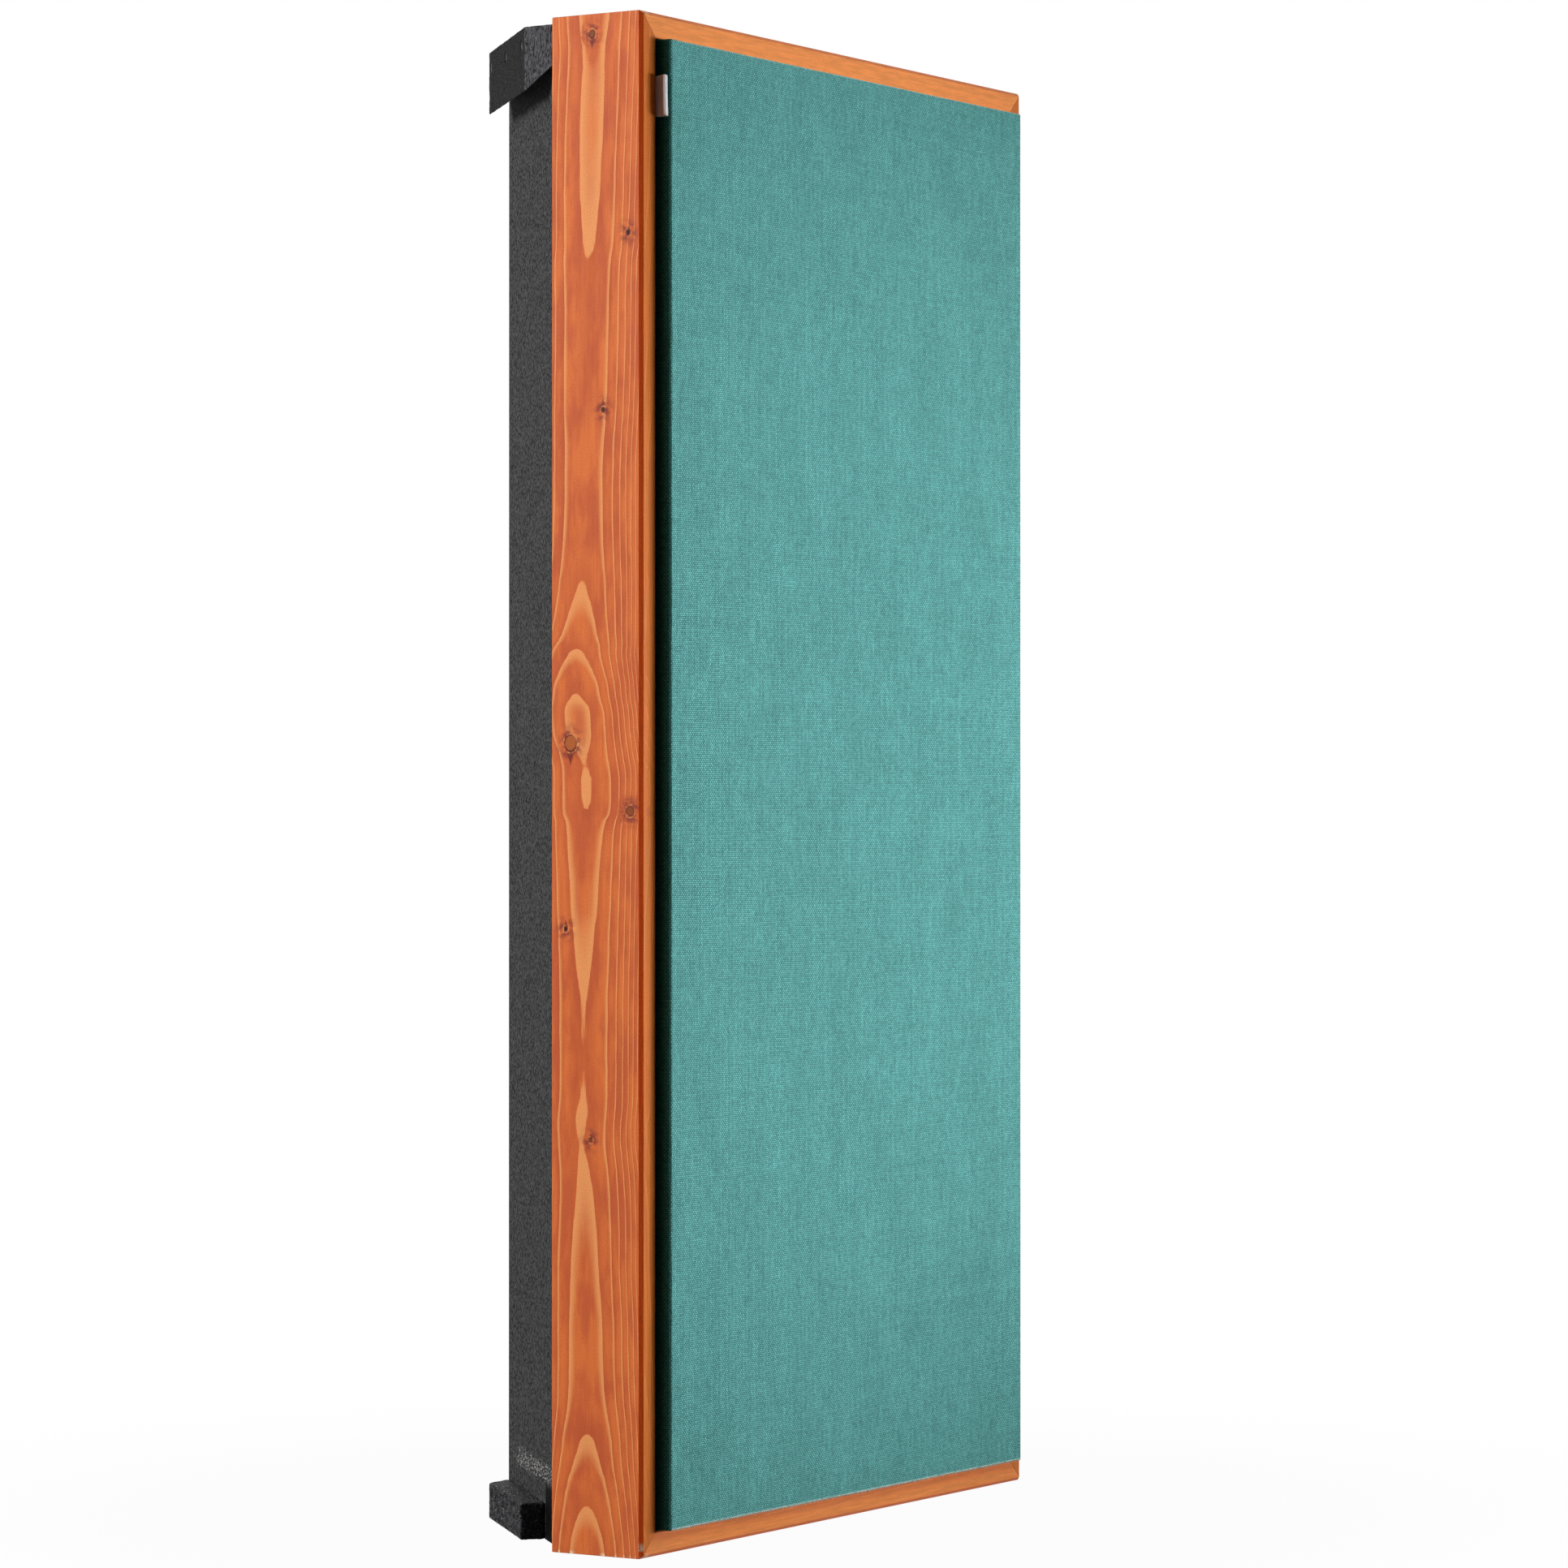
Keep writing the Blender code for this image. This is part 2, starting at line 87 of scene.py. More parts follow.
def linked_node(kind, inputs, **settings):
    """Adds a node to the tree that its linked inputs belong to."""
    linked = next(value for value in inputs.values() if isinstance(value, bpy.types.NodeSocket))
    return add_node(linked.id_data, kind, inputs, **settings)


def calc(operation, *values, clamp=False):
    """The result of one Math node."""
    settings = {"operation": operation, "use_clamp": clamp}
    return linked_node("ShaderNodeMath", dict(enumerate(values)), **settings).outputs[0]


def times(*values):
    """The product of the values."""
    return reduce(lambda one, two: calc("MULTIPLY", one, two), values)


def total(*values):
    """The sum of the values."""
    return reduce(lambda one, two: calc("ADD", one, two), values)


def largest(*values):
    """The largest of the values."""
    return reduce(lambda one, two: calc("MAXIMUM", one, two), values)


def minus(one, two):
    """one - two."""
    return calc("SUBTRACT", one, two)


def scaled(value, factor, shift):
    """value * factor + shift."""
    return calc("MULTIPLY_ADD", value, factor, shift)


def split(place):
    """The three parts of a place."""
    return linked_node("ShaderNodeSeparateXYZ", {0: place}).outputs


def give(node, values):
    """Links {socket: value} to a node's inputs."""
    for socket, value in values.items():
        node.id_data.links.new(value, node.inputs[socket])


def tint(factor, low, high, mode="MIX"):
    """The colour low at factor 0 and high at factor 1, mixed in the given way."""
    sockets = {0: factor, 6: low, 7: high}
    return linked_node("ShaderNodeMix", sockets, data_type="RGBA", blend_type=mode).outputs[2]


def rising(value, start, end, low=0.0, high=1.0):
    """A smooth step: low up to start, high past end."""
    sockets = {"Value": value, "From Min": start, "From Max": end, "To Min": low, "To Max": high}
    return linked_node("ShaderNodeMapRange", sockets, interpolation_type="SMOOTHSTEP").outputs[0]


def resized(place, x, y, z):
    """A place with each part multiplied by its own factor."""
    return linked_node("ShaderNodeMapping", {"Vector": place, "Scale": (x, y, z)}).outputs[0]


def cloud(place, size, detail=2.0, roughness=0.5):
    """Noise from 0 to 1 with features of the given size along x, y and z."""
    drawn = resized(place, *(1 / side for side in size))
    sockets = {"Vector": drawn, "Scale": 1.0, "Detail": detail, "Roughness": roughness}
    return linked_node("ShaderNodeTexNoise", sockets).outputs["Fac"]


def wobble(place, size, amount):
    """Noise from -amount to amount."""
    return scaled(cloud(place, size), 2 * amount, -amount)


def relief(height, distance, strength=1.0):
    """The normal of a bumpy surface, whose height runs from 0 to 1 over the distance in metres."""
    sockets = {"Height": height, "Distance": distance, "Strength": strength}
    return linked_node("ShaderNodeBump", sockets).outputs["Normal"]


def start_group(name, inputs, outputs):
    """An empty node group from Place and values to values: its tree, inputs and output node."""
    tree = bpy.data.node_groups.new(name, "ShaderNodeTree")
    tree.interface.new_socket(name="Place", in_out="INPUT", socket_type="NodeSocketVector")
    for end, titles in (("INPUT", inputs), ("OUTPUT", outputs)):
        for title in titles:
            tree.interface.new_socket(name=title, in_out=end, socket_type="NodeSocketFloat")
    return tree, tree.nodes.new("NodeGroupInput").outputs, tree.nodes.new("NodeGroupOutput")


def use_group(group, inputs):
    """Places a node group and returns its outputs."""
    return linked_node("ShaderNodeGroup", inputs, node_tree=group).outputs


def start_material(name, roughness, specular=0.5, metallic=0.0):
    """A new material, with its Principled shader and the place in millimetres."""
    material = bpy.data.materials.new(name)
    material.use_nodes = True
    shader = material.node_tree.nodes["Principled BSDF"]
    values = {"Roughness": roughness, "Specular IOR Level": specular, "Metallic": metallic}
    for socket, value in values.items():
        shader.inputs[socket].default_value = value
    where = add_node(material.node_tree, "ShaderNodeTexCoord").outputs["Object"]
    return material, shader, resized(where, 1000, 1000, 1000)


def dress(material, *names):
    """Gives CAD nodes a material."""
    for name in names:
        mesh = nodes[name].data
        mesh.materials.clear()
        mesh.materials.append(material)


# Growth rings. The ring number grows with the square of the distance across from the board's heart
# line, a little faster further out, and with the depth below its face. The figure's own rise along
# the board is added to it. The late wood comes on slowly through a ring and ends sharply with it.
# Far from the heart line, where the rings stand steep to the face, only its last part shows pale.
HEART_DEPTH = 15.0
RING_AREA = 560.0
RING_CROWDING = 0.006
STEEP_FROM = 13.0
STEEP_TO = 28.0
LATE_FROM = 0.66
LATE_FROM_FAR = 0.76
LATE_FULL = 0.95
LATE_ENDS = 0.985

rings, given, result = start_group(
    "pine_rings", ("Heart", "Rise", "Knots"), ("Late Wood", "Ring", "Fibre")
)
place = given["Place"]
parts = split(place)
sway = wobble(place, (30, 30, 120), 1.2)
jitter = wobble(place, (2.2, 2.2, 26), 0.6)
across = total(minus(parts[0], given["Heart"]), sway, jitter)
below = total(parts[1], HEART_DEPTH)
far = calc("ABSOLUTE", across)
spread = times(across, across, scaled(far, RING_CROWDING, 1.0))
square = scaled(below, below, spread)
flat = calc("DIVIDE", minus(square, HEART_DEPTH**2), RING_AREA)
fibre = cloud(place, (0.55, 0.55, 22), detail=3, roughness=0.6)
number = total(flat, given["Rise"], given["Knots"], scaled(fibre, 0.05, -0.025))
part = calc("FRACT", number)
slow = wobble(place, (50, 50, 90), 0.1)
late_from = total(rising(far, STEEP_FROM, STEEP_TO, LATE_FROM, LATE_FROM_FAR), slow)
late = times(rising(part, late_from, LATE_FULL), rising(part, LATE_ENDS, 1.0, 1.0, 0.0))
give(result, {"Late Wood": late, "Ring": part, "Fibre": fibre})

# A knot: the branch is a peg that runs into the board. Rings lift round it and the wood darkens. A
# thin line of bark closes it in, a paler rim lies round that, and a dark spike runs off along the
# grain. Smoky halos lie beside it, and the late wood calms down close to it.
KNOT_HEIGHT = 0.88
LIFT_DRAWN = 0.3
LIFT_SPANS = 2.2
BARK_THICK = 0.45
RIM_AT, RIM_THICK = 1.2, 0.5
HALO_AT, HALO_WIDE = 1.5, 5.0
CALM_SPANS = (3.5, 4.3)
SPIKE_SHARE, SPIKE_WIDE, SPIKE_SOFT = 0.8, 2.2, 1.2

knot, given, result = start_group(
    "pine_knot",
    ("Across", "Along", "Radius", "Spike"),
    ("Lift", "Core", "Bark", "Rim", "Spike", "Halo", "Calm"),
)


def hypotenuse(one, two):
    """The root of the sum of two squares."""
    return calc("SQRT", scaled(one, one, times(two, two)))


def bell(value, width):
    """A bell curve: 1 where the value is 0, and 1/e where it equals the width."""
    share = calc("DIVIDE", value, width)
    return calc("EXPONENT", times(share, share, -1.0))


place = given["Place"]
parts = split(place)
side = total(minus(parts[0], given["Across"]), wobble(place, (3, 3, 3), 0.8))
climb = minus(parts[2], given["Along"])
away = hypotenuse(side, times(climb, KNOT_HEIGHT))
spans = calc("DIVIDE", away, given["Radius"])
outside = minus(away, given["Radius"])
parted = calc("DIVIDE", hypotenuse(side, times(climb, LIFT_DRAWN)), given["Radius"])
patchy = rising(cloud(place, (2.5, 2.5, 4)), 0.42, 0.62)
along = calc("DIVIDE", climb, given["Spike"])
broad = scaled(given["Radius"], SPIKE_SHARE, SPIKE_WIDE)
half = times(broad, calc("SUBTRACT", 1.0, along, clamp=True))
within = rising(minus(calc("ABSOLUTE", side), half), -SPIKE_SOFT, 0.0, 1.0, 0.0)
smoke = calc("MULTIPLY_ADD", cloud(place, (6, 6, 5), detail=1.5), 5.0, -1.9, clamp=True)
torn = total(spans, wobble(place, (2.2, 2.2, 9), 1.6))
give(result, {
    "Lift": bell(parted, LIFT_SPANS),
    "Core": rising(spans, 0.8, 1.0, 1.0, 0.0),
    "Bark": bell(outside, BARK_THICK),
    "Rim": times(bell(minus(outside, RIM_AT), RIM_THICK), patchy),
    "Spike": times(within, rising(along, -0.05, 0.1)),
    "Halo": times(bell(minus(outside, HALO_AT), HALO_WIDE), smoke),
    "Calm": rising(torn, *CALM_SPANS, 1.0, 0.0),
})

STAIN = paint(192, 92, 54)
STAIN_LIGHT = paint(214, 112, 58)
STAIN_DEEP = paint(177, 80, 48)
STAIN_ON_CHAMFER = paint(222, 77, 16)
STAIN_ON_FRONT = paint(208, 116, 36)
BARE_WOOD = paint(238, 208, 172)
LATE_PALE = paint(228, 148, 90)
KNOT_WOOD = paint(170, 92, 48)
KNOT_DARK = paint(48, 28, 26)
KNOT_BARK = paint(84, 38, 26)
KNOT_SPIKE = paint(116, 46, 34)
KNOT_HALO = paint(130, 56, 50)
FADED = paint(255, 160, 90)
BOARD_WIDE = 84.0
BOARD_LONG = 1200.0
RISE_LIMIT = 3.0
FRONT_FROM = 82.5
CHAMFER_FROM = 81.05
PAD_SHADOW_SPAN = (7.0, 17.0)


def board_curve(along, points, low, high):
    """A smooth curve along a board through (millimetres, value) points, from low to high."""
    made = linked_node("ShaderNodeFloatCurve", {"Value": calc("DIVIDE", along, BOARD_LONG)})
    line = made.mapping.curves[0]
    while len(line.points) < len(points):
        line.points.new(0.5, 0.5)
    for point, (height, value) in zip(line.points, sorted(points)):
        point.location = (height / BOARD_LONG, (value - low) / (high - low))
        point.handle_type = "AUTO_CLAMPED"
    made.mapping.update()
    return scaled(made.outputs[0], high - low, low)


def faded(colour, share):
    """A stain's colour where the wood took less of it."""
    return tuple((1 - share) * own + share * pale for own, pale in zip(colour, FADED))


def dimmed(colour, red, green, blue):
    """A colour with each channel multiplied by its own value."""
    factors = linked_node("ShaderNodeCombineColor", {0: red, 1: green, 2: blue}).outputs[0]
    return tint(1.0, colour, factors, "MULTIPLY")


def stained_board(name, axes, heart, rise, knots, fade=0.0, inner=0.0):
    """Stained pine for one board.

    axes gives, for across, below and along the board, which Object axis it follows, its sign and
    its start. heart and rise are curves along the board: where the heart line lies, and which ring
    the face meets. knots lists (along, across, radius, rings lifted, spike, darkness), in
    millimetres. fade is the share of the stain that a board took less, inner the share of deep
    stain painted along the front's inner edge as painted shade of the pad above it.
    """
    material, shader, place = start_material(name, roughness=0.5, specular=0.05)
    ways = split(place)
    across, below, along = (scaled(ways[axis], sign, start) for axis, sign, start in axes)
    board = linked_node("ShaderNodeCombineXYZ", {0: across, 1: below, 2: along}).outputs[0]
    lift = dark = calm = 0.0
    marks = dict.fromkeys(("Core", "Bark", "Rim", "Spike", "Halo"), 0.0)
    for spot, spot_across, radius, rings_up, spike, darkness in knots:
        sizes = {"Along": spot, "Across": spot_across, "Radius": radius, "Spike": spike}
        peg = use_group(knot, {"Place": board, **sizes})
        lift = scaled(peg["Lift"], rings_up, lift)
        dark = largest(dark, times(peg["Core"], darkness))
        calm = largest(calm, times(peg["Calm"], min(1.0, 2 * abs(rings_up))))
        marks = {mark: largest(so_far, peg[mark]) for mark, so_far in marks.items()}
    sockets = {
        "Place": board,
        "Heart": board_curve(along, heart, 0.0, BOARD_WIDE),
        "Rise": board_curve(along, rise, -RISE_LIMIT, RISE_LIMIT),
        "Knots": lift,
    }
    grown = use_group(rings, sockets)
    patches = cloud(board, (18, 18, 60), detail=3, roughness=0.6)
    streaks = cloud(board, (1.6, 1.6, 60), detail=3, roughness=0.65)
    speckle = cloud(board, (0.8, 0.8, 1.3), detail=2, roughness=0.7)
    mottle = cloud(board, (3, 3, 30), detail=3, roughness=0.65)
    on_front = rising(across, FRONT_FROM, FRONT_FROM + 1)
    slant = minus(across, below)

    # The stain, from patch to patch, deeper in early wood and streaks, more golden on the front.
    usual, light, deep = (faded(own, fade) for own in (STAIN, STAIN_LIGHT, STAIN_DEEP))
    colour = tint(rising(patches, 0.36, 0.62), usual, light)
    colour = tint(rising(grown["Ring"], 0.0, 0.4, 0.45, 0.0), colour, deep)
    colour = tint(rising(streaks, 0.45, 0.75, 0.0, 0.4), colour, deep)
    golden = times(on_front, rising(streaks, 0.3, 0.7, 0.9, 0.5))
    colour = tint(golden, colour, faded(STAIN_ON_FRONT, fade))
    # Painted shade: deep stain along the front's inner edge, under the overhanging pad, stands for
    # its shadow.
    colour = tint(times(on_front, rising(below, *PAD_SHADOW_SPAN, 0.0, inner)), colour, STAIN_DEEP)

    # Late wood, weaker on the front and close to a knot that lifts the rings much.
    pale = times(grown["Late Wood"], rising(grown["Fibre"], 0.2, 0.5, 0.75, 1.0))
    pale = times(pale, scaled(on_front, -0.75, 1.0), scaled(calm, -0.85, 1.0))
    colour = tint(pale, colour, faded(LATE_PALE, fade))

    # Knots, from the halo in to the dark heart.
    shades = (("Halo", 0.9, KNOT_HALO), ("Spike", 0.9, KNOT_SPIKE), ("Rim", 0.8, LATE_PALE))
    for mark, share, own in shades:
        colour = tint(times(marks[mark], share), colour, own)
    colour = tint(marks["Core"], colour, KNOT_WOOD)
    colour = tint(dark, colour, KNOT_DARK)
    colour = tint(times(marks["Bark"], 0.8), colour, KNOT_BARK)

    # The chamfer took deep stain. Its foot is chipped to bare wood, as is hard late wood under it.
    on_chamfer = rising(slant, CHAMFER_FROM, CHAMFER_FROM + 0.15, 0.0, 0.85 * (1 - fade))
    colour = tint(on_chamfer, colour, STAIN_ON_CHAMFER)
    chip = times(
        rising(slant, CHAMFER_FROM - 0.6, CHAMFER_FROM + 0.3),
        rising(along, 5, 7),
        rising(scaled(streaks, 9, along), 12, 18, 1.0, 0.0),
        rising(cloud(board, (1.2, 1.2, 3)), 0.38, 0.58, 0.1, 0.9),
    )
    colour = tint(chip, colour, BARE_WOOD)
    nick = times(rising(along, 0.8, 3.2, 1.0, 0.0), grown["Late Wood"])
    colour = tint(nick, colour, BARE_WOOD)

    # Fine grain over all of it, with streaks on the fronts, or mottles where the stain is thin.
    lined = rising(streaks, 0.36, 0.64, -0.14 * (1 - fade), 0.12 * (1 - fade))
    mottled = rising(mottle, 0.34, 0.66, -0.14 * fade, 0.12 * fade)
    shaded = scaled(on_front, total(lined, mottled), 1.0)
    grain = times(scaled(speckle, 0.7, 0.66), shaded)
    raised = scaled(grown["Late Wood"], 0.5, grown["Fibre"])
    give(shader, {
        "Base Color": dimmed(colour, grain, grain, grain),
        "Roughness": rising(streaks, 0.3, 0.8, 0.40, 0.56),
        "Normal": relief(raised, 0.00012),
    })
    return material


FRAME_HALF = cad_high.x * 1000
FRAME_TALL = cad_high.z * 1000
FRAME_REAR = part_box("frame_stile_left")[1].y * 1000
depth_axis = (1, -1.0, FRAME_REAR)
side_axes = [depth_axis, (0, 1.0, FRAME_HALF), (2, 1.0, 0.0)]
mirror_axes = [depth_axis, (0, -1.0, FRAME_HALF), (2, 1.0, 0.0)]
top_axes = [depth_axis, (2, -1.0, FRAME_TALL), (0, 1.0, FRAME_HALF)]
foot_axes = [depth_axis, (2, 1.0, 0.0), (0, 1.0, FRAME_HALF)]

left_heart = [
    (0, 33.5), (54, 33.2), (102, 33.4), (126, 32.8), (150, 32.3), (198, 31.5), (222, 31.0),
    (267, 31.3), (297, 30.5), (310, 29.3), (322, 28.2), (335, 28.0), (345, 28.8), (357, 29.7),
    (396, 29.8), (440, 30.1), (520, 30.3), (552, 30.6), (568, 31.4), (579, 32.5), (600, 32.9),
    (620, 30.5), (640, 26.0), (656, 24.4), (670, 23.0), (698, 22.8), (712, 25.2), (726, 26.7),
    (754, 28.4), (800, 29.4), (860, 30.0), (890, 31.1), (950, 32.5), (1008, 33.6), (1020, 35.0),
    (1060, 35.7), (1100, 36.7), (1140, 38.2), (1170, 39.6), (1200, 40.0),
]
left_rise = [
    (0, -2.56), (12, -2.43), (26, -2.20), (38, -2.0), (47, -1.85), (54, -1.70), (61, -1.55),
    (68, -1.37), (75, -1.26), (82, -1.15), (89, -1.08), (94, -1.0), (103, -0.85), (110, -0.74),
    (117, -0.65), (124, -0.58), (138, -0.51), (152, -0.475), (180, -0.46), (194, -0.41),
    (215, -0.345), (236, -0.285), (257, -0.21), (278, -0.132), (299, -0.067), (311, -0.03),
    (320, -0.014), (330, -0.035), (341, -0.056), (355, -0.024), (369, -0.006), (378, 0.0),
    (387, 0.02), (396, 0.0), (404, -0.008), (425, -0.014), (439, -0.037), (453, -0.081),
    (467, -0.132), (488, -0.213), (502, -0.305), (523, -0.357), (544, -0.46), (558, -0.54),
    (570, -0.66), (580, -1.0), (590, -1.04), (604, -1.045), (614, -1.0), (622, -1.02), (640, -1.25),
    (656, -1.28), (663, -1.13), (670, -1.0), (677, -0.896), (684, -0.634), (691, -0.414),
    (698, -0.185), (706, 0.0), (712, 0.274), (719, 0.486), (726, 0.621), (733, 0.743), (740, 0.833),
    (747, 0.922), (759, 1.0), (770, 1.129), (800, 1.31), (830, 1.366), (860, 1.352), (890, 1.198),
    (920, 1.16), (950, 1.126), (980, 1.10), (1000, 1.04), (1009, 1.0), (1020, 0.946), (1030, 0.919),
    (1040, 0.885), (1050, 0.864), (1060, 0.831), (1080, 0.819), (1100, 0.792), (1120, 0.78),
    (1150, 0.781), (1160, 0.80), (1170, 0.80), (1184, 0.71), (1192, 0.64), (1200, 0.60),
]
left_knots = [
    (1184.5, 37.8, 2.6, -0.5, -14.0, 0.5), (1028, 71.4, 1.6, 0.15, 6.0, 1.0),
    (891, 48.2, 1.5, 0.1, 11.0, 0.9), (632, 17.6, 5.4, -0.04, -19.0, 0.0),
    (579, 73.3, 3.2, 0.3, -4.0, 0.4), (487, 13.2, 1.4, 0.1, 9.0, 1.0),
    (323, 36.5, 1.2, 0.1, 6.0, 0.4),
]
right_heart = [(0, 40.0), (400, 46.0), (800, 38.0), (1200, 44.0)]
right_rise = [
    (0, 1.1), (160, 0.5), (300, -0.1), (420, -0.9), (560, -1.4), (700, -0.7), (860, 0.0),
    (990, 0.2), (1200, 1.2),
]
right_knots = [
    (1090, 22.0, 3.4, 0.7, 8.0, 0.5), (540, 58.0, 4.6, -0.9, -10.0, 0.1),
    (260, 16.0, 2.0, 0.5, 6.0, 0.9), (815, 70.0, 2.2, 0.5, -6.0, 0.8),
]
rail_heart = [(0, 52.0), (200, 45.0), (420, 48.0), (600, 43.0), (1200, 43.0)]
top_rise = [(0, -0.6), (130, -0.1), (260, 0.4), (390, 0.9), (520, 0.5), (600, 0.2), (1200, 0.2)]
top_knots = [(170, 30.0, 2.4, 0.6, 5.0, 0.6)]
foot_rise = [(0, 1.2), (150, 0.6), (300, 0.0), (410, -0.2), (520, -0.9), (600, -1.2), (1200, -1.2)]
foot_knots = [(430, 60.0, 2.8, 0.6, 5.0, 0.6)]
for name, node, *figure in (
    ("left", "stile_left", side_axes, left_heart, left_rise, left_knots),
    ("right", "stile_right", mirror_axes, right_heart, right_rise, right_knots),
    ("top", "rail_top", top_axes, rail_heart, top_rise, top_knots, 0.7),
    ("foot", "rail_bottom", foot_axes, rail_heart, foot_rise, foot_knots, 0.5, 0.6),
):
    dress(stained_board(f"stained_pine_{name}", *figure), f"frame_{node}")


# The biscuits: ovals of pressed beech, glued into slots across each mitre. They are pale, with the
# close fleck of beech pressed at a slant, and nothing of them shows once the frame is closed.
material, shader, place = start_material("pressed_beech", roughness=0.7)
fleck = cloud(place, (0.5, 0.5, 2.4), detail=3)
colour = tint(rising(fleck, 0.35, 0.65), paint(214, 178, 132), paint(186, 144, 98))
give(shader, {"Base Color": colour, "Normal": relief(fleck, 0.0001)})
dress(material, *(name for name in nodes if name.startswith("biscuit_")))


# The strips inside the frame and the pad's own battens: sawn softwood that nobody stains, creamy
# between the rings and a little fuzzy from the saw.
SOFTWOOD = paint(222, 188, 138)
SOFTWOOD_RING = paint(193, 144, 90)


def sawn_softwood(name, long_axis):
    """Raw softwood whose rings run along the given axis, 0 to 2."""
    material, shader, place = start_material(name, roughness=0.8)
    ring_size, fuzz_size = [5.0] * 3, [0.625] * 3
    ring_size[long_axis], fuzz_size[long_axis] = 400.0, 2.5
    ring = calc("FRACT", times(cloud(place, ring_size, detail=1), 9.0))
    fuzz = cloud(place, fuzz_size, detail=3, roughness=0.7)
    colour = tint(rising(ring, 0.55, 0.95), SOFTWOOD, SOFTWOOD_RING)
    colour = tint(rising(fuzz, 0.4, 0.8, 0.0, 0.5), colour, SOFTWOOD_RING)
    give(shader, {"Base Color": colour, "Normal": relief(fuzz, 0.0003)})
    return material


upright = sawn_softwood("raw_softwood_upright", 2)
level = sawn_softwood("raw_softwood_level", 0)
dress(upright, "strip_left", "strip_right", "pad_batten_left", "pad_batten_right")
dress(level, "strip_top", "strip_bottom", "pad_batten_top", "pad_batten_bottom")


# The wool: one slab in the pad and three in the box, of pressed mineral fibre, greenish brown, soft
# and laid in layers.
material, shader, place = start_material("mineral_wool", roughness=1.0, specular=0.1)
layers = cloud(place, (9, 1.5, 9), detail=4, roughness=0.7)
colour = tint(rising(layers, 0.35, 0.65), paint(150, 138, 96), paint(112, 101, 66))
give(shader, {"Base Color": colour, "Normal": relief(layers, 0.0015)})
dress(material, "pad_slab", "absorber_front", "absorber_middle", "absorber_rear")


# The pad's cover: one piece of plain-woven cloth in teal, pulled over the pad's battens and turned
# over behind them. Light threads run up and darker ones across, so that the weave reads as a fine
# check, and the fold along the lower front edge is rubbed pale.

def mesh_piece(name, points, faces, material, uv=None):
    """Makes a closed or open surface from an array of points and a list of faces."""
    mesh = bpy.data.meshes.new(name)
    mesh.from_pydata(np.asarray(points).reshape(-1, 3).tolist(), [], np.asarray(faces).tolist())
    mesh.materials.append(material)
    if uv is not None:
        corner = np.empty(len(mesh.loops), int)
        mesh.loops.foreach_get("vertex_index", corner)
        layer = mesh.uv_layers.new(name="cloth")
        drawn = np.asarray(uv).reshape(-1, 2)[corner]
        layer.data.foreach_set("uv", drawn.astype(np.float32).ravel())
    mesh.shade_smooth()
    piece = bpy.data.objects.new(name, mesh)
    bpy.context.scene.collection.objects.link(piece)
    return piece


def grid_faces(rows, columns, ring=False, first=0):
    """The faces of a grid of points. A ring joins its last column to its first."""
    row = np.arange(rows - 1)[:, None] * columns
    column = np.arange(columns if ring else columns - 1)[None, :]
    beside = (column + 1) % columns
    corners = (row + column, row + beside, row + columns + beside, row + columns + column)
    return np.stack(corners, -1).reshape(-1, 4) + first


def lump_noise(points, size, seed):
    """Smooth noise from -1 to 1: random values at the corners of a lattice, blended between."""
    cell = np.asarray(points) / size
    base = np.floor(cell)
    share = cell - base
    share = share * share * (3 - 2 * share)
    blended = 0.0
    for corner in product((0.0, 1.0), repeat=base.shape[-1]):
        key = (base + corner) @ np.array([127.1, 311.7, 74.7])[: base.shape[-1]] + 19.3 * seed
        value = np.modf(np.sin(key) * 43758.5453)[0]
        blended = blended + value * np.prod(np.where(corner, share, 1 - share), axis=-1)
    return blended


pad_low, pad_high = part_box("pad_cover")
PAD_HALF_WIDE = (pad_high.x - pad_low.x) / 2
PAD_HALF_TALL = (pad_high.z - pad_low.z) / 2
PAD_MIDDLE = (pad_high.z + pad_low.z) / 2
PAD_DEEP = pad_high.y - pad_low.y
EDGE_ROUND = 0.0014
CROWN = 0.0016
PULL_SIZE, PULL_DEEP = 0.035, 0.00025
SLACK_SIZE, SLACK_DEEP = 0.022, 0.00028
HEM = 0.025
WEAVE_PITCH = 0.00158
CLOTH_STEP = 0.0045

# The front is a grid, crowned a little and flat near the edges.
wide = PAD_HALF_WIDE - EDGE_ROUND
tall = PAD_HALF_TALL - EDGE_ROUND
columns = int(2 * wide / CLOTH_STEP)
rows = int(2 * tall / CLOTH_STEP)
x, z = np.meshgrid(np.linspace(-wide, wide, columns), np.linspace(-tall, tall, rows))
swell = (1 - (x / wide) ** 6) * (1 - (z / tall) ** 10)
pulled = lump_noise(np.stack([x, z * 0.25], -1), PULL_SIZE, 3) * PULL_DEEP
front = np.stack([x, pad_low.y - swell * (CROWN + pulled), z + PAD_MIDDLE], -1)
front_uv = np.stack([x, z], -1)

# The rim carries a profile round the pad: over the edge, straight back, round the rear and along
# the hem. At each corner the same point of the front turns through a quarter circle.
along_x = np.linspace(-wide, wide, columns)
along_z = np.linspace(-tall, tall, rows)
turn = np.linspace(0, math.pi / 2, 7)[1:-1]


def rim_path():
    """Round the front's edge from its lower left: each point with its outward direction."""
    sides = []
    runs = (
        (along_x, np.full(columns, -tall)), (np.full(rows, wide), along_z),
        (along_x[::-1], np.full(columns, tall)), (np.full(rows, -wide), along_z[::-1]),
    )
    for number, run in enumerate(runs):
        facing = math.pi * (number - 1) / 2 + np.r_[np.zeros(len(run[0])), turn]
        x, z = (np.pad(part, (0, len(turn)), "edge") for part in run)
        sides.append(np.column_stack([x, z, np.cos(facing), np.sin(facing)]))
    return np.concatenate(sides)


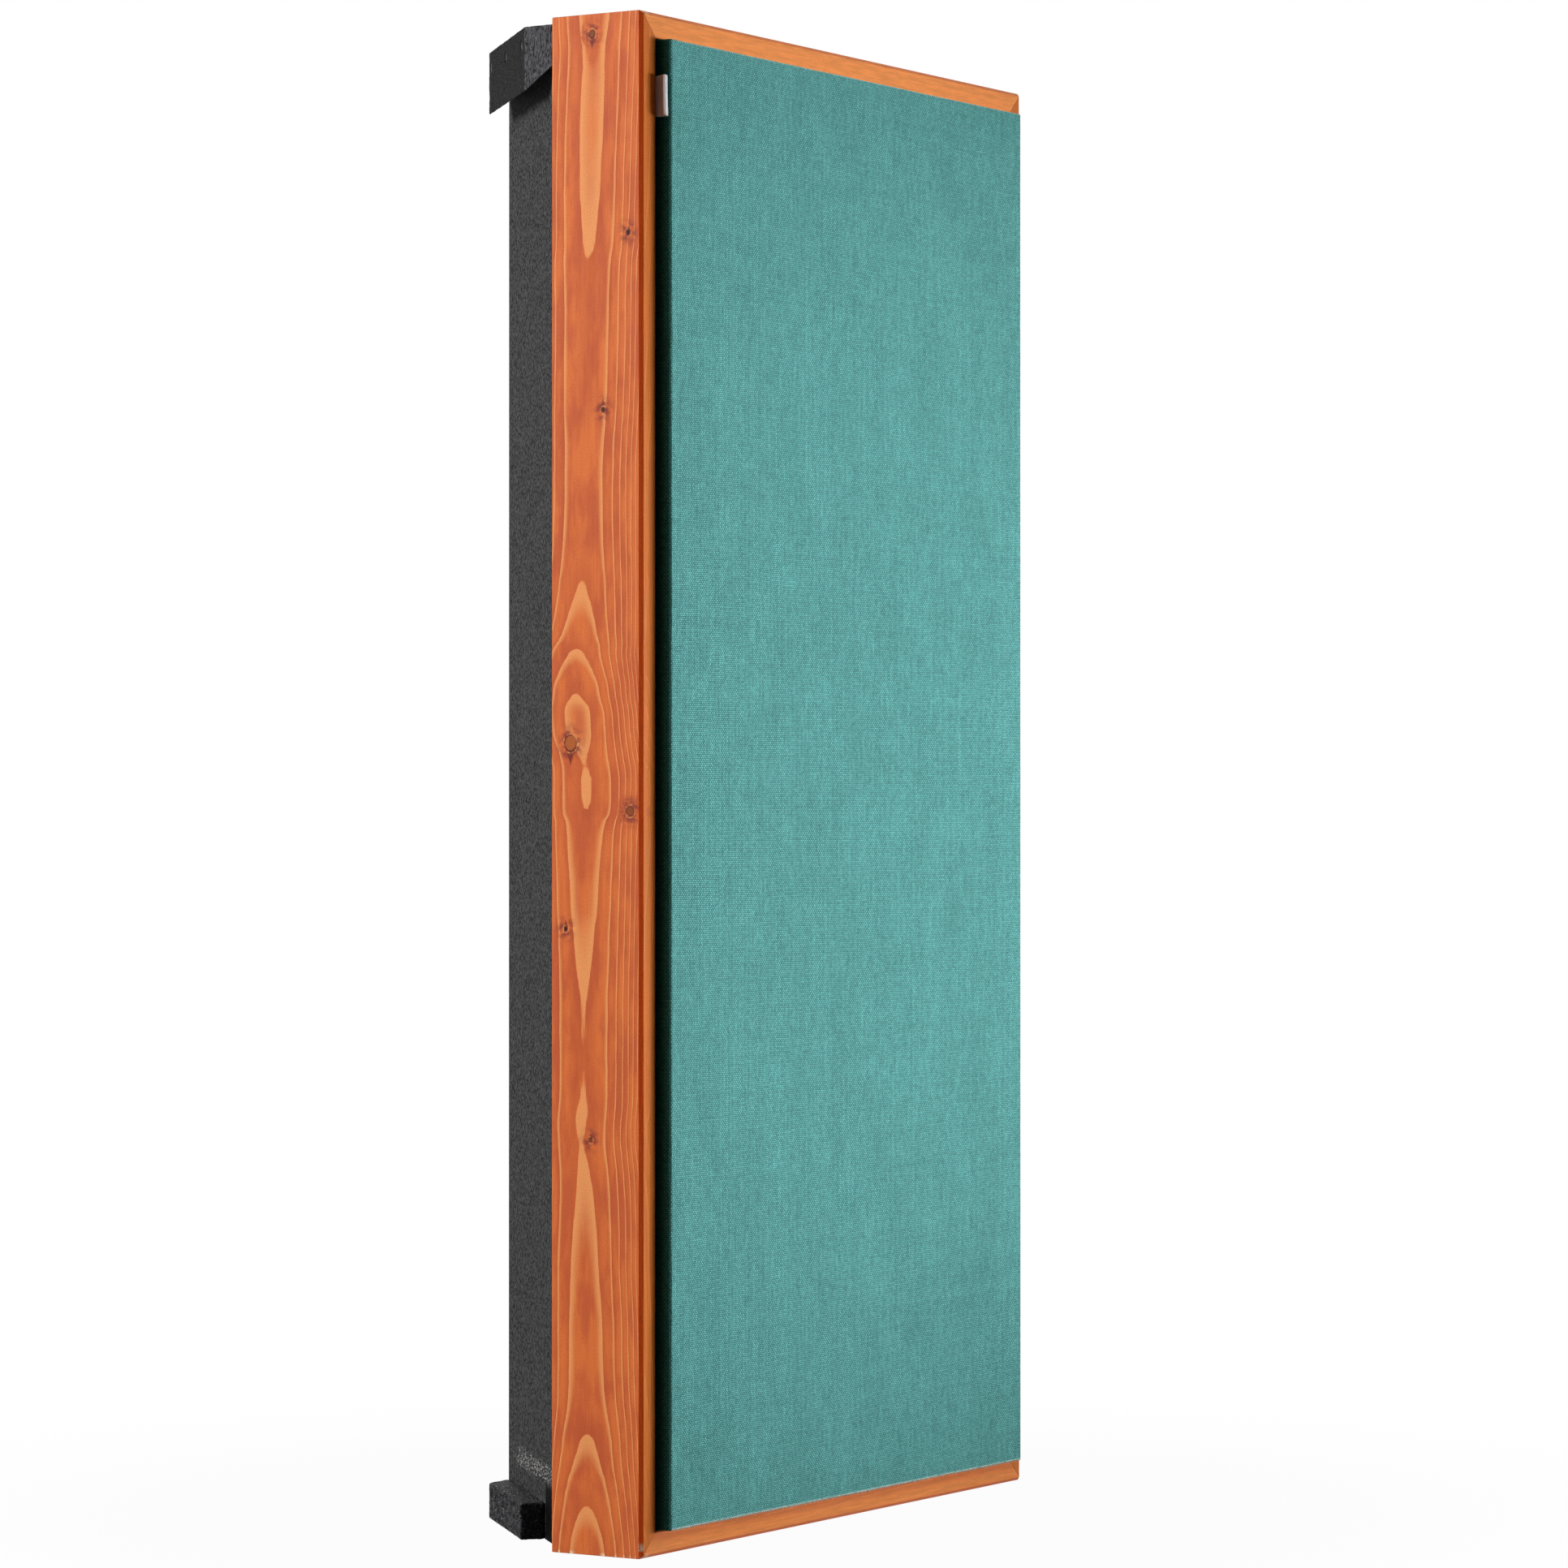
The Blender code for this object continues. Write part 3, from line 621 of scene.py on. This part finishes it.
path = rim_path()
bend = np.linspace(0, math.pi / 2, 8)
over_edge = np.stack([np.sin(bend), 1 - np.cos(bend)], -1) * EDGE_ROUND
straight = np.linspace(EDGE_ROUND, PAD_DEEP - EDGE_ROUND, 10)[1:-1]
down_side = np.stack([np.full(len(straight), EDGE_ROUND), straight], -1)
round_rear = np.stack([np.cos(bend), np.sin(bend)], -1) * EDGE_ROUND + [0, PAD_DEEP - EDGE_ROUND]
inward = np.linspace(0, EDGE_ROUND - HEM, 6)[1:]
hem = np.stack([inward, np.full(len(inward), PAD_DEEP)], -1)
profile = np.concatenate([over_edge, down_side, round_rear, hem])
reach = np.r_[0, np.cumsum(np.hypot(*np.diff(profile, axis=0).T))]
ring_points = path[None, :, :2] + profile[:, None, :1] * path[None, :, 2:]
back = np.broadcast_to(profile[:, None, 1], ring_points.shape[:2])
rim = np.stack([ring_points[..., 0], pad_low.y + back, ring_points[..., 1] + PAD_MIDDLE], -1)
slack = lump_noise(rim, SLACK_SIZE, 5) * SLACK_DEEP * np.clip(profile[:, :1] / EDGE_ROUND, 0, 1)
rim[..., 0] += slack * path[None, :, 2]
rim[..., 2] += slack * path[None, :, 3]
rim_uv = path[None, :, :2] + reach[:, None, None] * path[None, :, 2:]

material, shader, _ = start_material("teal_cloth", roughness=0.95, specular=0.02)

# Plain weave: every other square shows a warp thread on top and the rest a weft thread. A thread is
# round across itself and dips under the next one along itself.
weave, given, result = start_group("plain_weave", (), ("Height", "Warp", "Thread", "Tuft"))
parts = split(given["Place"])[:2]
cells = [calc("FLOOR", part) for part in parts]
arcs = [calc("SINE", times(calc("FRACT", part), math.pi)) for part in parts]
warp = calc("FLOORED_MODULO", total(*cells), 2.0)


def thread_top(cross, length):
    """The height of a thread in its square: the root of its round across, and flatter along it."""
    return times(calc("POWER", cross, 0.7), calc("POWER", length, 0.35))


def by_warp(weft_value, warp_value):
    """One value where the weft is on top and another where the warp is."""
    return linked_node("ShaderNodeMix", {0: warp, 2: weft_value, 3: warp_value}).outputs[0]


def white_noise(dimensions, sockets):
    """A random value from 0 to 1 for each whole number or pair of them."""
    made = linked_node("ShaderNodeTexWhiteNoise", sockets, noise_dimensions=dimensions)
    return made.outputs[0]


lanes = [white_noise("1D", {"W": total(cells[axis], 31.0 * axis)}) for axis in (0, 1)]
square = linked_node("ShaderNodeCombineXYZ", dict(enumerate(cells))).outputs[0]
give(result, {
    "Height": by_warp(thread_top(arcs[1], arcs[0]), thread_top(arcs[0], arcs[1])),
    "Warp": warp,
    "Thread": by_warp(lanes[1], lanes[0]),
    "Tuft": white_noise("2D", {"Vector": square}),
})

TEAL_WARP = paint(130, 204, 200)
TEAL_WEFT = paint(96, 174, 171)
TEAL_HOLLOW_SHADE = paint(23, 65, 67)
RUBBED_AND_HIGHLIGHT = paint(240, 246, 236)
PROUD = 0.0125


def varied(value, spread):
    """A factor round 1 from noise of 0 to 1."""
    return scaled(value, spread, 1 - spread / 2)


on_cloth = add_node(material.node_tree, "ShaderNodeUVMap", uv_map="cloth").outputs[0]
laid = resized(on_cloth, 1 / WEAVE_PITCH, 1 / WEAVE_PITCH, 1)
sockets = {"Vector": laid, "Scale": 0.03, "Detail": 2.0}
wander = linked_node("ShaderNodeTexNoise", sockets).outputs["Color"]
sockets = {0: wander, 1: (1.6, 1.6, 0), 2: laid}
drift = linked_node("ShaderNodeVectorMath", sockets, operation="MULTIPLY_ADD").outputs[0]
woven = use_group(weave, {"Place": drift})
uneven = cloud(laid, (3, 14, 1), detail=3, roughness=0.6)
blotch = cloud(laid, (30, 60, 1))
colour = tint(woven["Warp"], TEAL_WEFT, TEAL_WARP)
# Where a thread dips into the gaps the cloth is painted darker: painted shade in the hollows between
# threads.
colour = tint(rising(woven["Height"], 0.0, 0.75, 0.85, 0.0), colour, TEAL_HOLLOW_SHADE)

# Painted shade: the pad's sides darken towards the frame, in which they stand, and lose their red
# first, so that less of the frame's orange light comes back off them.
sideways, upward, _ = split(on_cloth)
past_fold = minus(calc("ABSOLUTE", sideways), wide)
shade = times(
    varied(woven["Thread"], 0.14), varied(woven["Tuft"], 0.36),
    varied(uneven, 0.56), varied(blotch, 0.3),
    rising(past_fold, EDGE_ROUND * 1.2, PROUD, 0.9, 0.2),
)
red = times(shade, rising(past_fold, EDGE_ROUND, EDGE_ROUND * 2.0, 1.0, 0.45))
colour = dimmed(colour, red, shade, shade)

# The lower fold is rubbed on each thread that stands out. The upper fold is painted a little paler,
# a painted highlight of the light from above on its rounding.
low_fold = rising(upward, -tall - EDGE_ROUND * 0.15, -tall + EDGE_ROUND * 0.6, 1.0, 0.0)
low_fold = times(low_fold, scaled(woven["Warp"], 0.55, 0.45))
top_fold_highlight = rising(upward, tall, tall + EDGE_ROUND * 0.8, 0.0, 0.6)
frayed = rising(cloud(laid, (2.4, 0.8, 1), detail=3, roughness=0.7), 0.32, 0.55)
in_front = rising(past_fold, 0.0, EDGE_ROUND, 1.0, 0.0)
colour = tint(times(largest(low_fold, top_fold_highlight), frayed, in_front), colour, RUBBED_AND_HIGHLIGHT)
give(shader, {"Base Color": colour, "Normal": relief(woven["Height"], 0.0005, 0.8)})
teal_cloth = material

faces = np.concatenate([
    grid_faces(rows, columns),
    grid_faces(len(profile), len(path), ring=True, first=rows * columns)[:, ::-1],
])
points = np.concatenate([front.reshape(-1, 3), rim.reshape(-1, 3)])
cover_uv = np.concatenate([front_uv.reshape(-1, 2), rim_uv.reshape(-1, 2)])
cover = mesh_piece("cloth_cover", points, faces, teal_cloth, cover_uv)
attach(cover, "root")
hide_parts("pad_cover")


# Fibres that stand out of the rubbed fold, a few to each millimetre. They are pale where the dye has
# worn off, curled, and much thinner than a thread of the cloth.
def fibre_mesh(roots, ways, lengths, radius):
    """Curled threads: three-sided tubes that taper along root + way * t + curl * t * t."""
    count = len(roots)
    steps = np.linspace(0, 1, 4)
    curl = lump_noise(roots * 900, 1.0, 7)[:, None] * np.array([0.5, -0.1, 0.6])
    line = roots[:, None] + lengths[:, None, None] * (
        ways[:, None] * steps[None, :, None] + curl[:, None] * steps[None, :, None] ** 2
    )
    angle = np.arange(3) * 2 * math.pi / 3
    circle = np.stack([np.cos(angle), np.zeros(3), np.sin(angle)], -1)
    width = radius * (1 - 0.75 * steps)
    points = line[:, :, None] + circle[None, None] * width[None, :, None, None]
    tube = grid_faces(4, 3, ring=True)
    faces = (tube[None] + 12 * np.arange(count)[:, None, None]).reshape(-1, 4)
    return points, faces


FIBRES = 2200
FIBRE_RADIUS = 0.00009
FIBRE_LONG = (0.0007, 0.0022)
random = np.random.default_rng(11)
fold_x = np.linspace(-wide, wide, FIBRES) + random.normal(0, 0.0006, FIBRES)
fold_turn = random.uniform(0.2, 1.2, FIBRES)
roots = np.stack([
    fold_x,
    pad_low.y + EDGE_ROUND * (1 - np.cos(fold_turn)),
    pad_low.z + EDGE_ROUND * (1 - np.sin(fold_turn)),
], -1)
ways = np.stack([
    random.normal(0, 0.8, FIBRES), -np.cos(fold_turn) * 0.5, random.normal(-0.35, 0.35, FIBRES),
], -1)
lengths = random.uniform(*FIBRE_LONG, FIBRES)
points, faces = fibre_mesh(roots, ways, lengths, FIBRE_RADIUS)

material, shader, place = start_material("rubbed_fibre", roughness=0.95, specular=0.2)
pick = cloud(place, (2, 2, 2))
give(shader, {"Base Color": tint(pick, paint(172, 204, 196), paint(236, 236, 228))})
fibres = mesh_piece("rubbed_fibres", points, faces, material)
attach(fibres, "root")


# The tag: a loop of white woven tape, caught with both ends in the gap at the pad's left side. It
# is blank. It leans away from the cloth; its front turns flat to the viewer and back to the pad.
tag_low, tag_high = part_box("side_tag")
TAG_TALL = tag_high.z - tag_low.z
TAG_LONG = 0.0369
TAG_STEPS = 76
TAG_ROWS = 30
TAG_RUNS = np.array([0.0, 11.5, 13.5, 22.3, 23.5, 26.9, 27.9, 36.9]) / 1000 / TAG_LONG
TAG_HEADINGS = np.radians([0, 0, 21, 21, -95, -95, -180, -180])
TAG_GAP = 0.0014
TAG_RISE = 0.10
TAPE_THREADS = 3500
TAPE_THICK = 0.0003
u, v = np.meshgrid(np.linspace(0, 1, TAG_STEPS), np.linspace(0, 1, TAG_ROWS))
heading = np.interp(u, TAG_RUNS, TAG_HEADINGS)
heading += (heading > 0) * np.radians(2.5) * lump_noise(v[..., None] * 3.1, 1.0, 9)
step = TAG_LONG / TAG_STEPS
out_of_side = TAG_GAP + np.cumsum(np.sin(heading), axis=1) * step
forward = np.cumsum(np.cos(heading), axis=1) * step
tag_points = np.stack([
    tag_high.x - out_of_side,
    tag_high.y - forward,
    tag_low.z + TAG_TALL * v + TAG_RISE * out_of_side,
], -1)

material, shader, _ = start_material("white_tape", roughness=0.75, specular=0.3)
on_cloth = add_node(material.node_tree, "ShaderNodeUVMap", uv_map="cloth").outputs[0]
woven = use_group(weave, {"Place": resized(on_cloth, TAPE_THREADS, TAPE_THREADS, 1)})
# The tape is painted darker where its threads dip: painted shade in the hollows between them.
give(shader, {
    "Base Color": tint(woven["Height"], paint(218, 210, 212), paint(250, 245, 246)),
    "Normal": relief(woven["Height"], 0.0001),
})
tag_uv = np.stack([TAG_LONG * u, TAG_TALL * v], -1)
tag_faces = grid_faces(TAG_ROWS, TAG_STEPS)[:, ::-1]
tag = mesh_piece("blank_tag", tag_points, tag_faces, material, tag_uv)
thick = tag.modifiers.new("tape", "SOLIDIFY")
thick.thickness = TAPE_THICK
thick.offset = 0
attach(tag, "root")
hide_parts("side_tag")


# The box behind the frame: five panels of fibreboard, sprayed with a textured black that dries to
# small soft lumps. Above the spacers at their foot the slanted sides are scuffed white in specks.
BOARD_BLACK = paint(72, 72, 72)
BOARD_PIT = paint(18, 18, 19)
CORNER_SHADE_BLACK = paint(7, 7, 7)
CORNER_SHADE_RUN = -185.0
CORNER_SHADE_TOP = 44.0
SCUFF = paint(158, 156, 153)
SCUFF_FROM, SCUFF_TO = 46.0, 60.0
SCUFF_OUT = (150.0, 200.0)
COS_45 = math.sqrt(0.5)


def along_side(place):
    """Run along the slanted side, offset out of it and height as one place, for both sides.

    Returns with it the distance from the middle, the run and the height, all in millimetres.
    """
    ways = split(place)
    out = calc("ABSOLUTE", ways[0])
    run = times(minus(ways[1], out), COS_45)
    offset = times(total(ways[1], out), COS_45)
    sided = linked_node("ShaderNodeCombineXYZ", {0: run, 1: offset, 2: ways[2]}).outputs[0]
    return sided, out, run, ways[2]


# The spray's pits are painted darker than its lumps: the paint's own mottle, and painted shade in
# the pits.
lumps, given, result = start_group("sprayed_lumps", (), ("Height", "Mottle"))
coarse = cloud(given["Place"], (3.2, 3.2, 3.2), detail=3, roughness=0.6)
fine = cloud(given["Place"], (2.4, 2.4, 2.4), detail=3, roughness=0.75)
give(result, {
    "Height": scaled(fine, 0.45, coarse),
    "Mottle": rising(fine, 0.40, 0.60),
})

# Painted shade: the corner between the frame and each spacer's end is painted near black, as the
# shade that falls there.
material, shader, place = start_material("black_board", roughness=0.8, specular=0.02)
spray = use_group(lumps, {"Place": place})
sided, out, run, up = along_side(place)
corner_shade = rising(run, CORNER_SHADE_RUN - 3, CORNER_SHADE_RUN + 1, 1.0, 0.0)
corner_shade = times(corner_shade, rising(up, CORNER_SHADE_TOP, CORNER_SHADE_TOP + 8, 1.0, 0.0))
colour = tint(corner_shade, tint(spray["Mottle"], BOARD_PIT, BOARD_BLACK), CORNER_SHADE_BLACK)
wavy = total(up, wobble(sided, (60, 60, 60), 4))
band = times(
    rising(wavy, SCUFF_FROM, SCUFF_FROM + 6),
    rising(wavy, SCUFF_TO, SCUFF_TO + 12, 1.0, 0.0),
    rising(out, *SCUFF_OUT),
)
specks = scaled(band, 0.14, cloud(sided, (4.5, 4.5, 1.9), detail=3, roughness=0.65))
colour = tint(times(band, rising(specks, 0.67, 0.73)), colour, SCUFF)
give(shader, {"Base Color": colour, "Normal": relief(spray["Height"], 0.0006)})
dress(material, "box_side_left", "box_side_right", "box_back", "box_top", "box_bottom")


# The hook cleats and the spacers: rough-sawn battens, painted black by hand, screwed to the slanted
# sides. The saw has left ridges across them, and their arrises are chipped and soft.
BATTEN_OUT = 0.0203
BATTEN_IN = 0.0003
FACE_START = Vector((-0.2955, -0.021))
BOX_DEEP = 0.139
BOX_RUN = BOX_DEEP * math.sqrt(2)
SAW_PITCH = 0.0026
SAW_REACH = 0.0015
SAW_TILT = 0.15
SAW_WANDER = 0.002
LUMPS = ((0.006, 0.00018), (0.0022, 0.00016))
SCREW_RADIUS = 0.0046
SCREW_PIT = 0.0012
SCREW_SOFT = 0.0006
END_GRAIN_FROM = 294.9


def unit(way):
    """The same way with length 1."""
    return way / np.linalg.norm(way)


def soft_profile(corners, radius, step):
    """A polygon walked at even steps, its corners arcs. Gives points and outward ways."""
    arcs = []
    for corner, before, after in zip(corners, np.roll(corners, 1, 0), np.roll(corners, -1, 0)):
        before, after = unit(before - corner), unit(after - corner)
        half = math.acos(before @ after) / 2
        inner = corner + unit(before + after) * radius / math.sin(half)
        ends = [corner + way * radius / math.tan(half) - inner for way in (before, after)]
        start, end = (math.atan2(end[1], end[0]) for end in ends)
        sweep = (end - start + math.pi) % (2 * math.pi) - math.pi
        angles = start + sweep * np.linspace(0, 1, 5)
        outward = np.stack([np.cos(angles), np.sin(angles)], -1)
        arcs.append((inner + outward * radius, outward))
    points, ways = [], []
    for (arc, outward), (following, _) in zip(arcs, arcs[1:] + arcs[:1]):
        gap = following[0] - arc[-1]
        run = max(2, int(np.linalg.norm(gap) / step))
        points += [arc, arc[-1] + gap * np.linspace(0, 1, run + 1)[1:-1, None]]
        ways += [outward, np.repeat(outward[-1:], run - 1, axis=0)]
    return np.concatenate(points), np.concatenate(ways)


def batten_points(corners, radius, start_of, end_of, step=0.0011):
    """The soft profile carried along the slanted side, closed at its ends by shrinking rings.

    A ring lies between start_of(offset) and end_of(offset), the run at which each end face stands.
    """
    outline, ways = soft_profile(np.array(corners), radius, step)
    middle = outline.mean(0)
    inner = outline - ways * radius
    rings_in = [middle + (inner - middle) * share for share in (0.004, 0.25, 0.5, 0.75)]
    turns = np.linspace(0, math.pi / 2, 4)
    edge = [(inner + ways * radius * math.sin(a), radius * (1 - math.cos(a))) for a in turns]
    cap = [(ring, 0.0) for ring in rings_in] + edge
    length = end_of(BATTEN_OUT) - start_of(BATTEN_OUT)
    stations = np.linspace(0, 1, max(3, int(length / step)))[1:-1]
    layers = []
    for ring, advance in cap:
        layers.append(np.column_stack([start_of(ring[:, 0]) + advance, ring]))
    for share in stations:
        first = start_of(outline[:, 0]) + radius
        last = end_of(outline[:, 0]) - radius
        layers.append(np.column_stack([first + (last - first) * share, outline]))
    for ring, advance in reversed(cap):
        layers.append(np.column_stack([end_of(ring[:, 0]) - advance, ring]))
    return np.array(layers)


def onto_side(local):
    """Run along the slanted side, offset out of it and height, as a place in the object."""
    run, offset, height = np.moveaxis(local, -1, 0)
    x = FACE_START.x + (run - offset) * COS_45
    y = FACE_START.y + (run + offset) * COS_45
    return np.stack([x, y, height], -1)


def rough_batten(name, replaced, corners, radius, start_of, end_of, screws, material, ridge, seed):
    """Builds one batten on the left and its mirror image on the right."""
    local = batten_points(corners, radius, start_of, end_of)
    rows, columns = local.shape[:2]
    flat_mesh = mesh_piece("measuring", local, grid_faces(rows, columns, ring=True), material)
    ways = np.empty(rows * columns * 3)
    flat_mesh.data.vertex_normals.foreach_get("vector", ways)
    bpy.data.meshes.remove(flat_mesh.data)
    ways = ways.reshape(rows, columns, 3)
    run, offset, height = np.moveaxis(local, -1, 0)
    outer = np.clip((offset - (BATTEN_OUT - SAW_REACH)) / SAW_REACH, 0, 1)
    coarse, fine = (
        lump_noise(local, size, seed + number) * high for number, (size, high) in enumerate(LUMPS)
    )
    wave = run + lump_noise(local, 0.02, seed + 2) * SAW_WANDER + height * SAW_TILT
    sawn = np.sin(wave / SAW_PITCH * 2 * math.pi) * (0.6 + 0.4 * lump_noise(local, 0.012, seed + 3))
    push = coarse + fine + ridge * outer * sawn
    for spot_run, spot_height in screws:
        away = np.hypot(run - spot_run, height - spot_height)
        push = push - outer * SCREW_PIT * np.clip((SCREW_RADIUS - away) / SCREW_SOFT, 0, 1)
    moved = local + ways * push[..., None]
    points = onto_side(moved)
    for side, sign in (("left", 1), ("right", -1)):
        faces = grid_faces(rows, columns, ring=True)[:, ::sign]
        piece = mesh_piece(f"{name}_{side}", points * [sign, 1, 1], faces, material)
        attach(piece, "root")
        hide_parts(f"{replaced}_{side}")


def black_batten(name, strokes, face_grey, end_and_shade_grey, pit_and_shade_grey, wear, end_run):
    """Black brushed along sawn softwood in strokes, with pale flecks where it has worn.

    The greys are those of the face, of the end grain and of its pits; the spacer's near-black end
    and pit greys are painted shade. The end grain has no flecks and lies further out than
    END_GRAIN_FROM or at a lesser run than end_run.
    """
    material, shader, place = start_material(name, roughness=0.8, specular=0.03)
    sided, out, run, _ = along_side(place)
    end = rising(out, END_GRAIN_FROM, END_GRAIN_FROM + 0.3)
    end = largest(end, rising(run, end_run, end_run + 1.5, 1.0, 0.0))
    brushed = cloud(sided, strokes, detail=4, roughness=0.65)
    pores = cloud(place, (0.9, 0.7, 3.6), detail=3, roughness=0.7)
    flecks = cloud(sided, (5.0, 1.5, 1.8), detail=4, roughness=0.75)
    face = tint(rising(brushed, 0.38, 0.62), paint(8, 8, 8), paint(*face_grey))
    face = tint(rising(flecks, 0.70 - wear, 0.76 - wear), face, paint(188, 184, 178))
    grain = tint(rising(pores, 0.4, 0.6), paint(*pit_and_shade_grey), paint(*end_and_shade_grey))
    colour = tint(end, face, grain)
    give(shader, {"Base Color": colour, "Normal": relief(brushed, 0.0007)})
    return material


SPACER_FROM = 0.0385
SPACER_END = (SPACER_FROM + (FACE_START.x + FACE_START.y) * COS_45) * 1000 - 0.6
NO_END = -1000.0


def section(name, bevel=0.0):
    """A batten's corners as offset and height, its inner lower one raised by the bevel."""
    low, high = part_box(name)
    lower = [(BATTEN_IN, low.z + bevel), (BATTEN_OUT, low.z)]
    return lower + [(BATTEN_OUT, high.z), (BATTEN_IN, high.z)]


def screw_spot(name):
    """A screw's run along the slanted side and its height, from its CAD node's box."""
    low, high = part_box(name)
    middle = (low + high) / 2
    run = ((middle.x - FACE_START.x) + (middle.y - FACE_START.y)) * COS_45
    return run, middle.z


greys = ((38, 38, 39), (96, 96, 99), (34, 34, 36))
material = black_batten("black_cleat", (5.0, 1.6, 1.6), *greys, 0.04, NO_END)
rough_batten(
    "sawn_cleat", "hook_cleat", section("hook_cleat_left", BATTEN_OUT - BATTEN_IN), 0.0007,
    lambda offset: offset, lambda offset: BOX_RUN - offset,
    [screw_spot(f"cleat_screw_{number}_left") for number in (1, 2, 3)],
    material, ridge=0.00004, seed=21,
)
# The spacer's end face, in the corner at the frame, is painted near black (4 and 2): painted shade.
greys = ((58, 58, 60), (4, 4, 4), (2, 2, 2))
material = black_batten("black_spacer", (7.0, 2.2, 2.2), *greys, 0.085, SPACER_END)
rough_batten(
    "sawn_spacer", "wall_spacer", section("wall_spacer_left"), 0.0018,
    lambda offset: offset * 0 + SPACER_FROM, lambda offset: BOX_RUN - offset,
    [screw_spot(f"spacer_screw_{number}_left") for number in (1, 2)],
    material, ridge=0.00012, seed=41,
)


# The screws: blackened steel with countersunk heads, driven a little below the wood. Oil and dust
# have dulled them.
material, shader, place = start_material("black_steel", roughness=0.45, metallic=0.9)
dull = cloud(place, (1.2, 1.2, 1.2), detail=3)
give(shader, {
    "Base Color": tint(dull, paint(28, 27, 26), paint(70, 68, 66)),
    "Roughness": rising(dull, 0.3, 0.7, 0.35, 0.6),
    "Normal": relief(dull, 0.00005),
})
dress(material, *(name for name in nodes if "_screw_" in name))


# The studio: a pale floor that the camera sees as white and that keeps the shadow, a white backdrop
# all round, and soft lights: a key in front at the right, a second one behind at the left.
floor_mesh = bpy.data.meshes.new("floor")
floor_mesh.from_pydata([(-30, -30, 0), (30, -30, 0), (30, 30, 0), (-30, 30, 0)], [], [(0, 1, 2, 3)])
floor = bpy.data.objects.new("floor", floor_mesh)
bpy.context.scene.collection.objects.link(floor)
FLOOR_GREY = (0.12, 0.12, 0.12, 1)
material = bpy.data.materials.new("pale_floor")
material.use_nodes = True
tree = material.node_tree
tree.nodes.clear()


def seen_white(tree):
    """1 for rays of the camera and those sent on by a glossy or clear surface, 0 for others."""
    rays = add_node(tree, "ShaderNodeLightPath").outputs
    return largest(*(rays[f"Is {kind} Ray"] for kind in ("Camera", "Glossy", "Transmission")))


pale = add_node(tree, "ShaderNodeBsdfDiffuse", {"Color": FLOOR_GREY}).outputs[0]
white = add_node(tree, "ShaderNodeEmission", {"Color": (1, 1, 1, 1), "Strength": 1.0}).outputs[0]
where = add_node(tree, "ShaderNodeTexCoord").outputs["Object"]
away = linked_node("ShaderNodeVectorMath", {0: where}, operation="LENGTH").outputs["Value"]

# Close to the object a little of the floor's own shading is left in, which is the shadow.
open_floor = rising(away, 0.30, 1.0, 0.97, 1.0)
sockets = {0: times(seen_white(tree), open_floor), 1: pale, 2: white}
shown = linked_node("ShaderNodeMixShader", sockets).outputs[0]
give(tree.nodes.new("ShaderNodeOutputMaterial"), {"Surface": shown})
floor_mesh.materials.append(material)

AMBIENT = 0.004
world = bpy.data.worlds.new("white_studio")
bpy.context.scene.world = world
world.use_nodes = True
tree = world.node_tree
background = tree.nodes["Background"]
background.inputs["Color"].default_value = (1, 1, 1, 1)
give(background, {"Strength": scaled(seen_white(tree), 1 - AMBIENT, AMBIENT)})


def place_light(name, lamp, place, target):
    """Puts a lamp at a place and turns it to a target."""
    light = bpy.data.objects.new(name, lamp)
    light.location = place
    light.rotation_euler = (Vector(target) - Vector(place)).to_track_quat("-Z", "Y").to_euler()
    bpy.context.scene.collection.objects.link(light)


def soft_light(name, place, target, size, power):
    """A rectangular lamp."""
    lamp = bpy.data.lights.new(name, "AREA")
    lamp.shape = "RECTANGLE"
    lamp.size, lamp.size_y = size
    lamp.energy = power
    place_light(name, lamp, place, target)


# The key is a bank of five soft beams side by side, level with the middle of the pad. They fall off
# towards the object's top and foot, and the spread of the bank shades its round edges softly.
KEY_AIM = Vector((-0.06, -0.1, 0.62))
KEY_AWAY = 4.6
KEY_POWER = 1080
KEY_BEAMS = {16: 0.12, 25: 0.18, 33.5: 0.27, 41: 0.26, 48: 0.17}
for number, (azimuth, share) in enumerate(KEY_BEAMS.items()):
    beam = bpy.data.lights.new(f"key_{number}", "SPOT")
    beam.energy = KEY_POWER * share
    beam.spot_size = math.radians(25)
    beam.spot_blend = 0.8
    beam.shadow_soft_size = 0.4
    turned = math.radians(azimuth)
    towards = Vector((math.sin(turned), -math.cos(turned), 0))
    place_light(beam.name, beam, KEY_AIM + towards * KEY_AWAY, KEY_AIM)
soft_light("behind_left", (-4.0, 2.775, 2.475), (-0.25, 0.0, 0.6), (1.7, 1.7), 325)
soft_light("behind_right", (1.8, 1.8, 0.9), (0.2, 0.0, 0.6), (0.9, 1.6), 25)
soft_light("above", (0.0, -1.0, 3.2), (0.0, -0.1, 1.1), (1.4, 1.0), 5)

camera_data = bpy.data.cameras.new("camera")
camera_data.sensor_width = 36.0
camera_data.lens = 127.85
camera = bpy.data.objects.new("camera", camera_data)
camera.location = (-3.9112, -2.4619, 0.5821)
camera.rotation_euler = (math.radians(90.239), 0.0, math.radians(-58.333))
bpy.context.scene.collection.objects.link(camera)
bpy.context.scene.camera = camera
bpy.context.scene.view_settings.view_transform = "Standard"
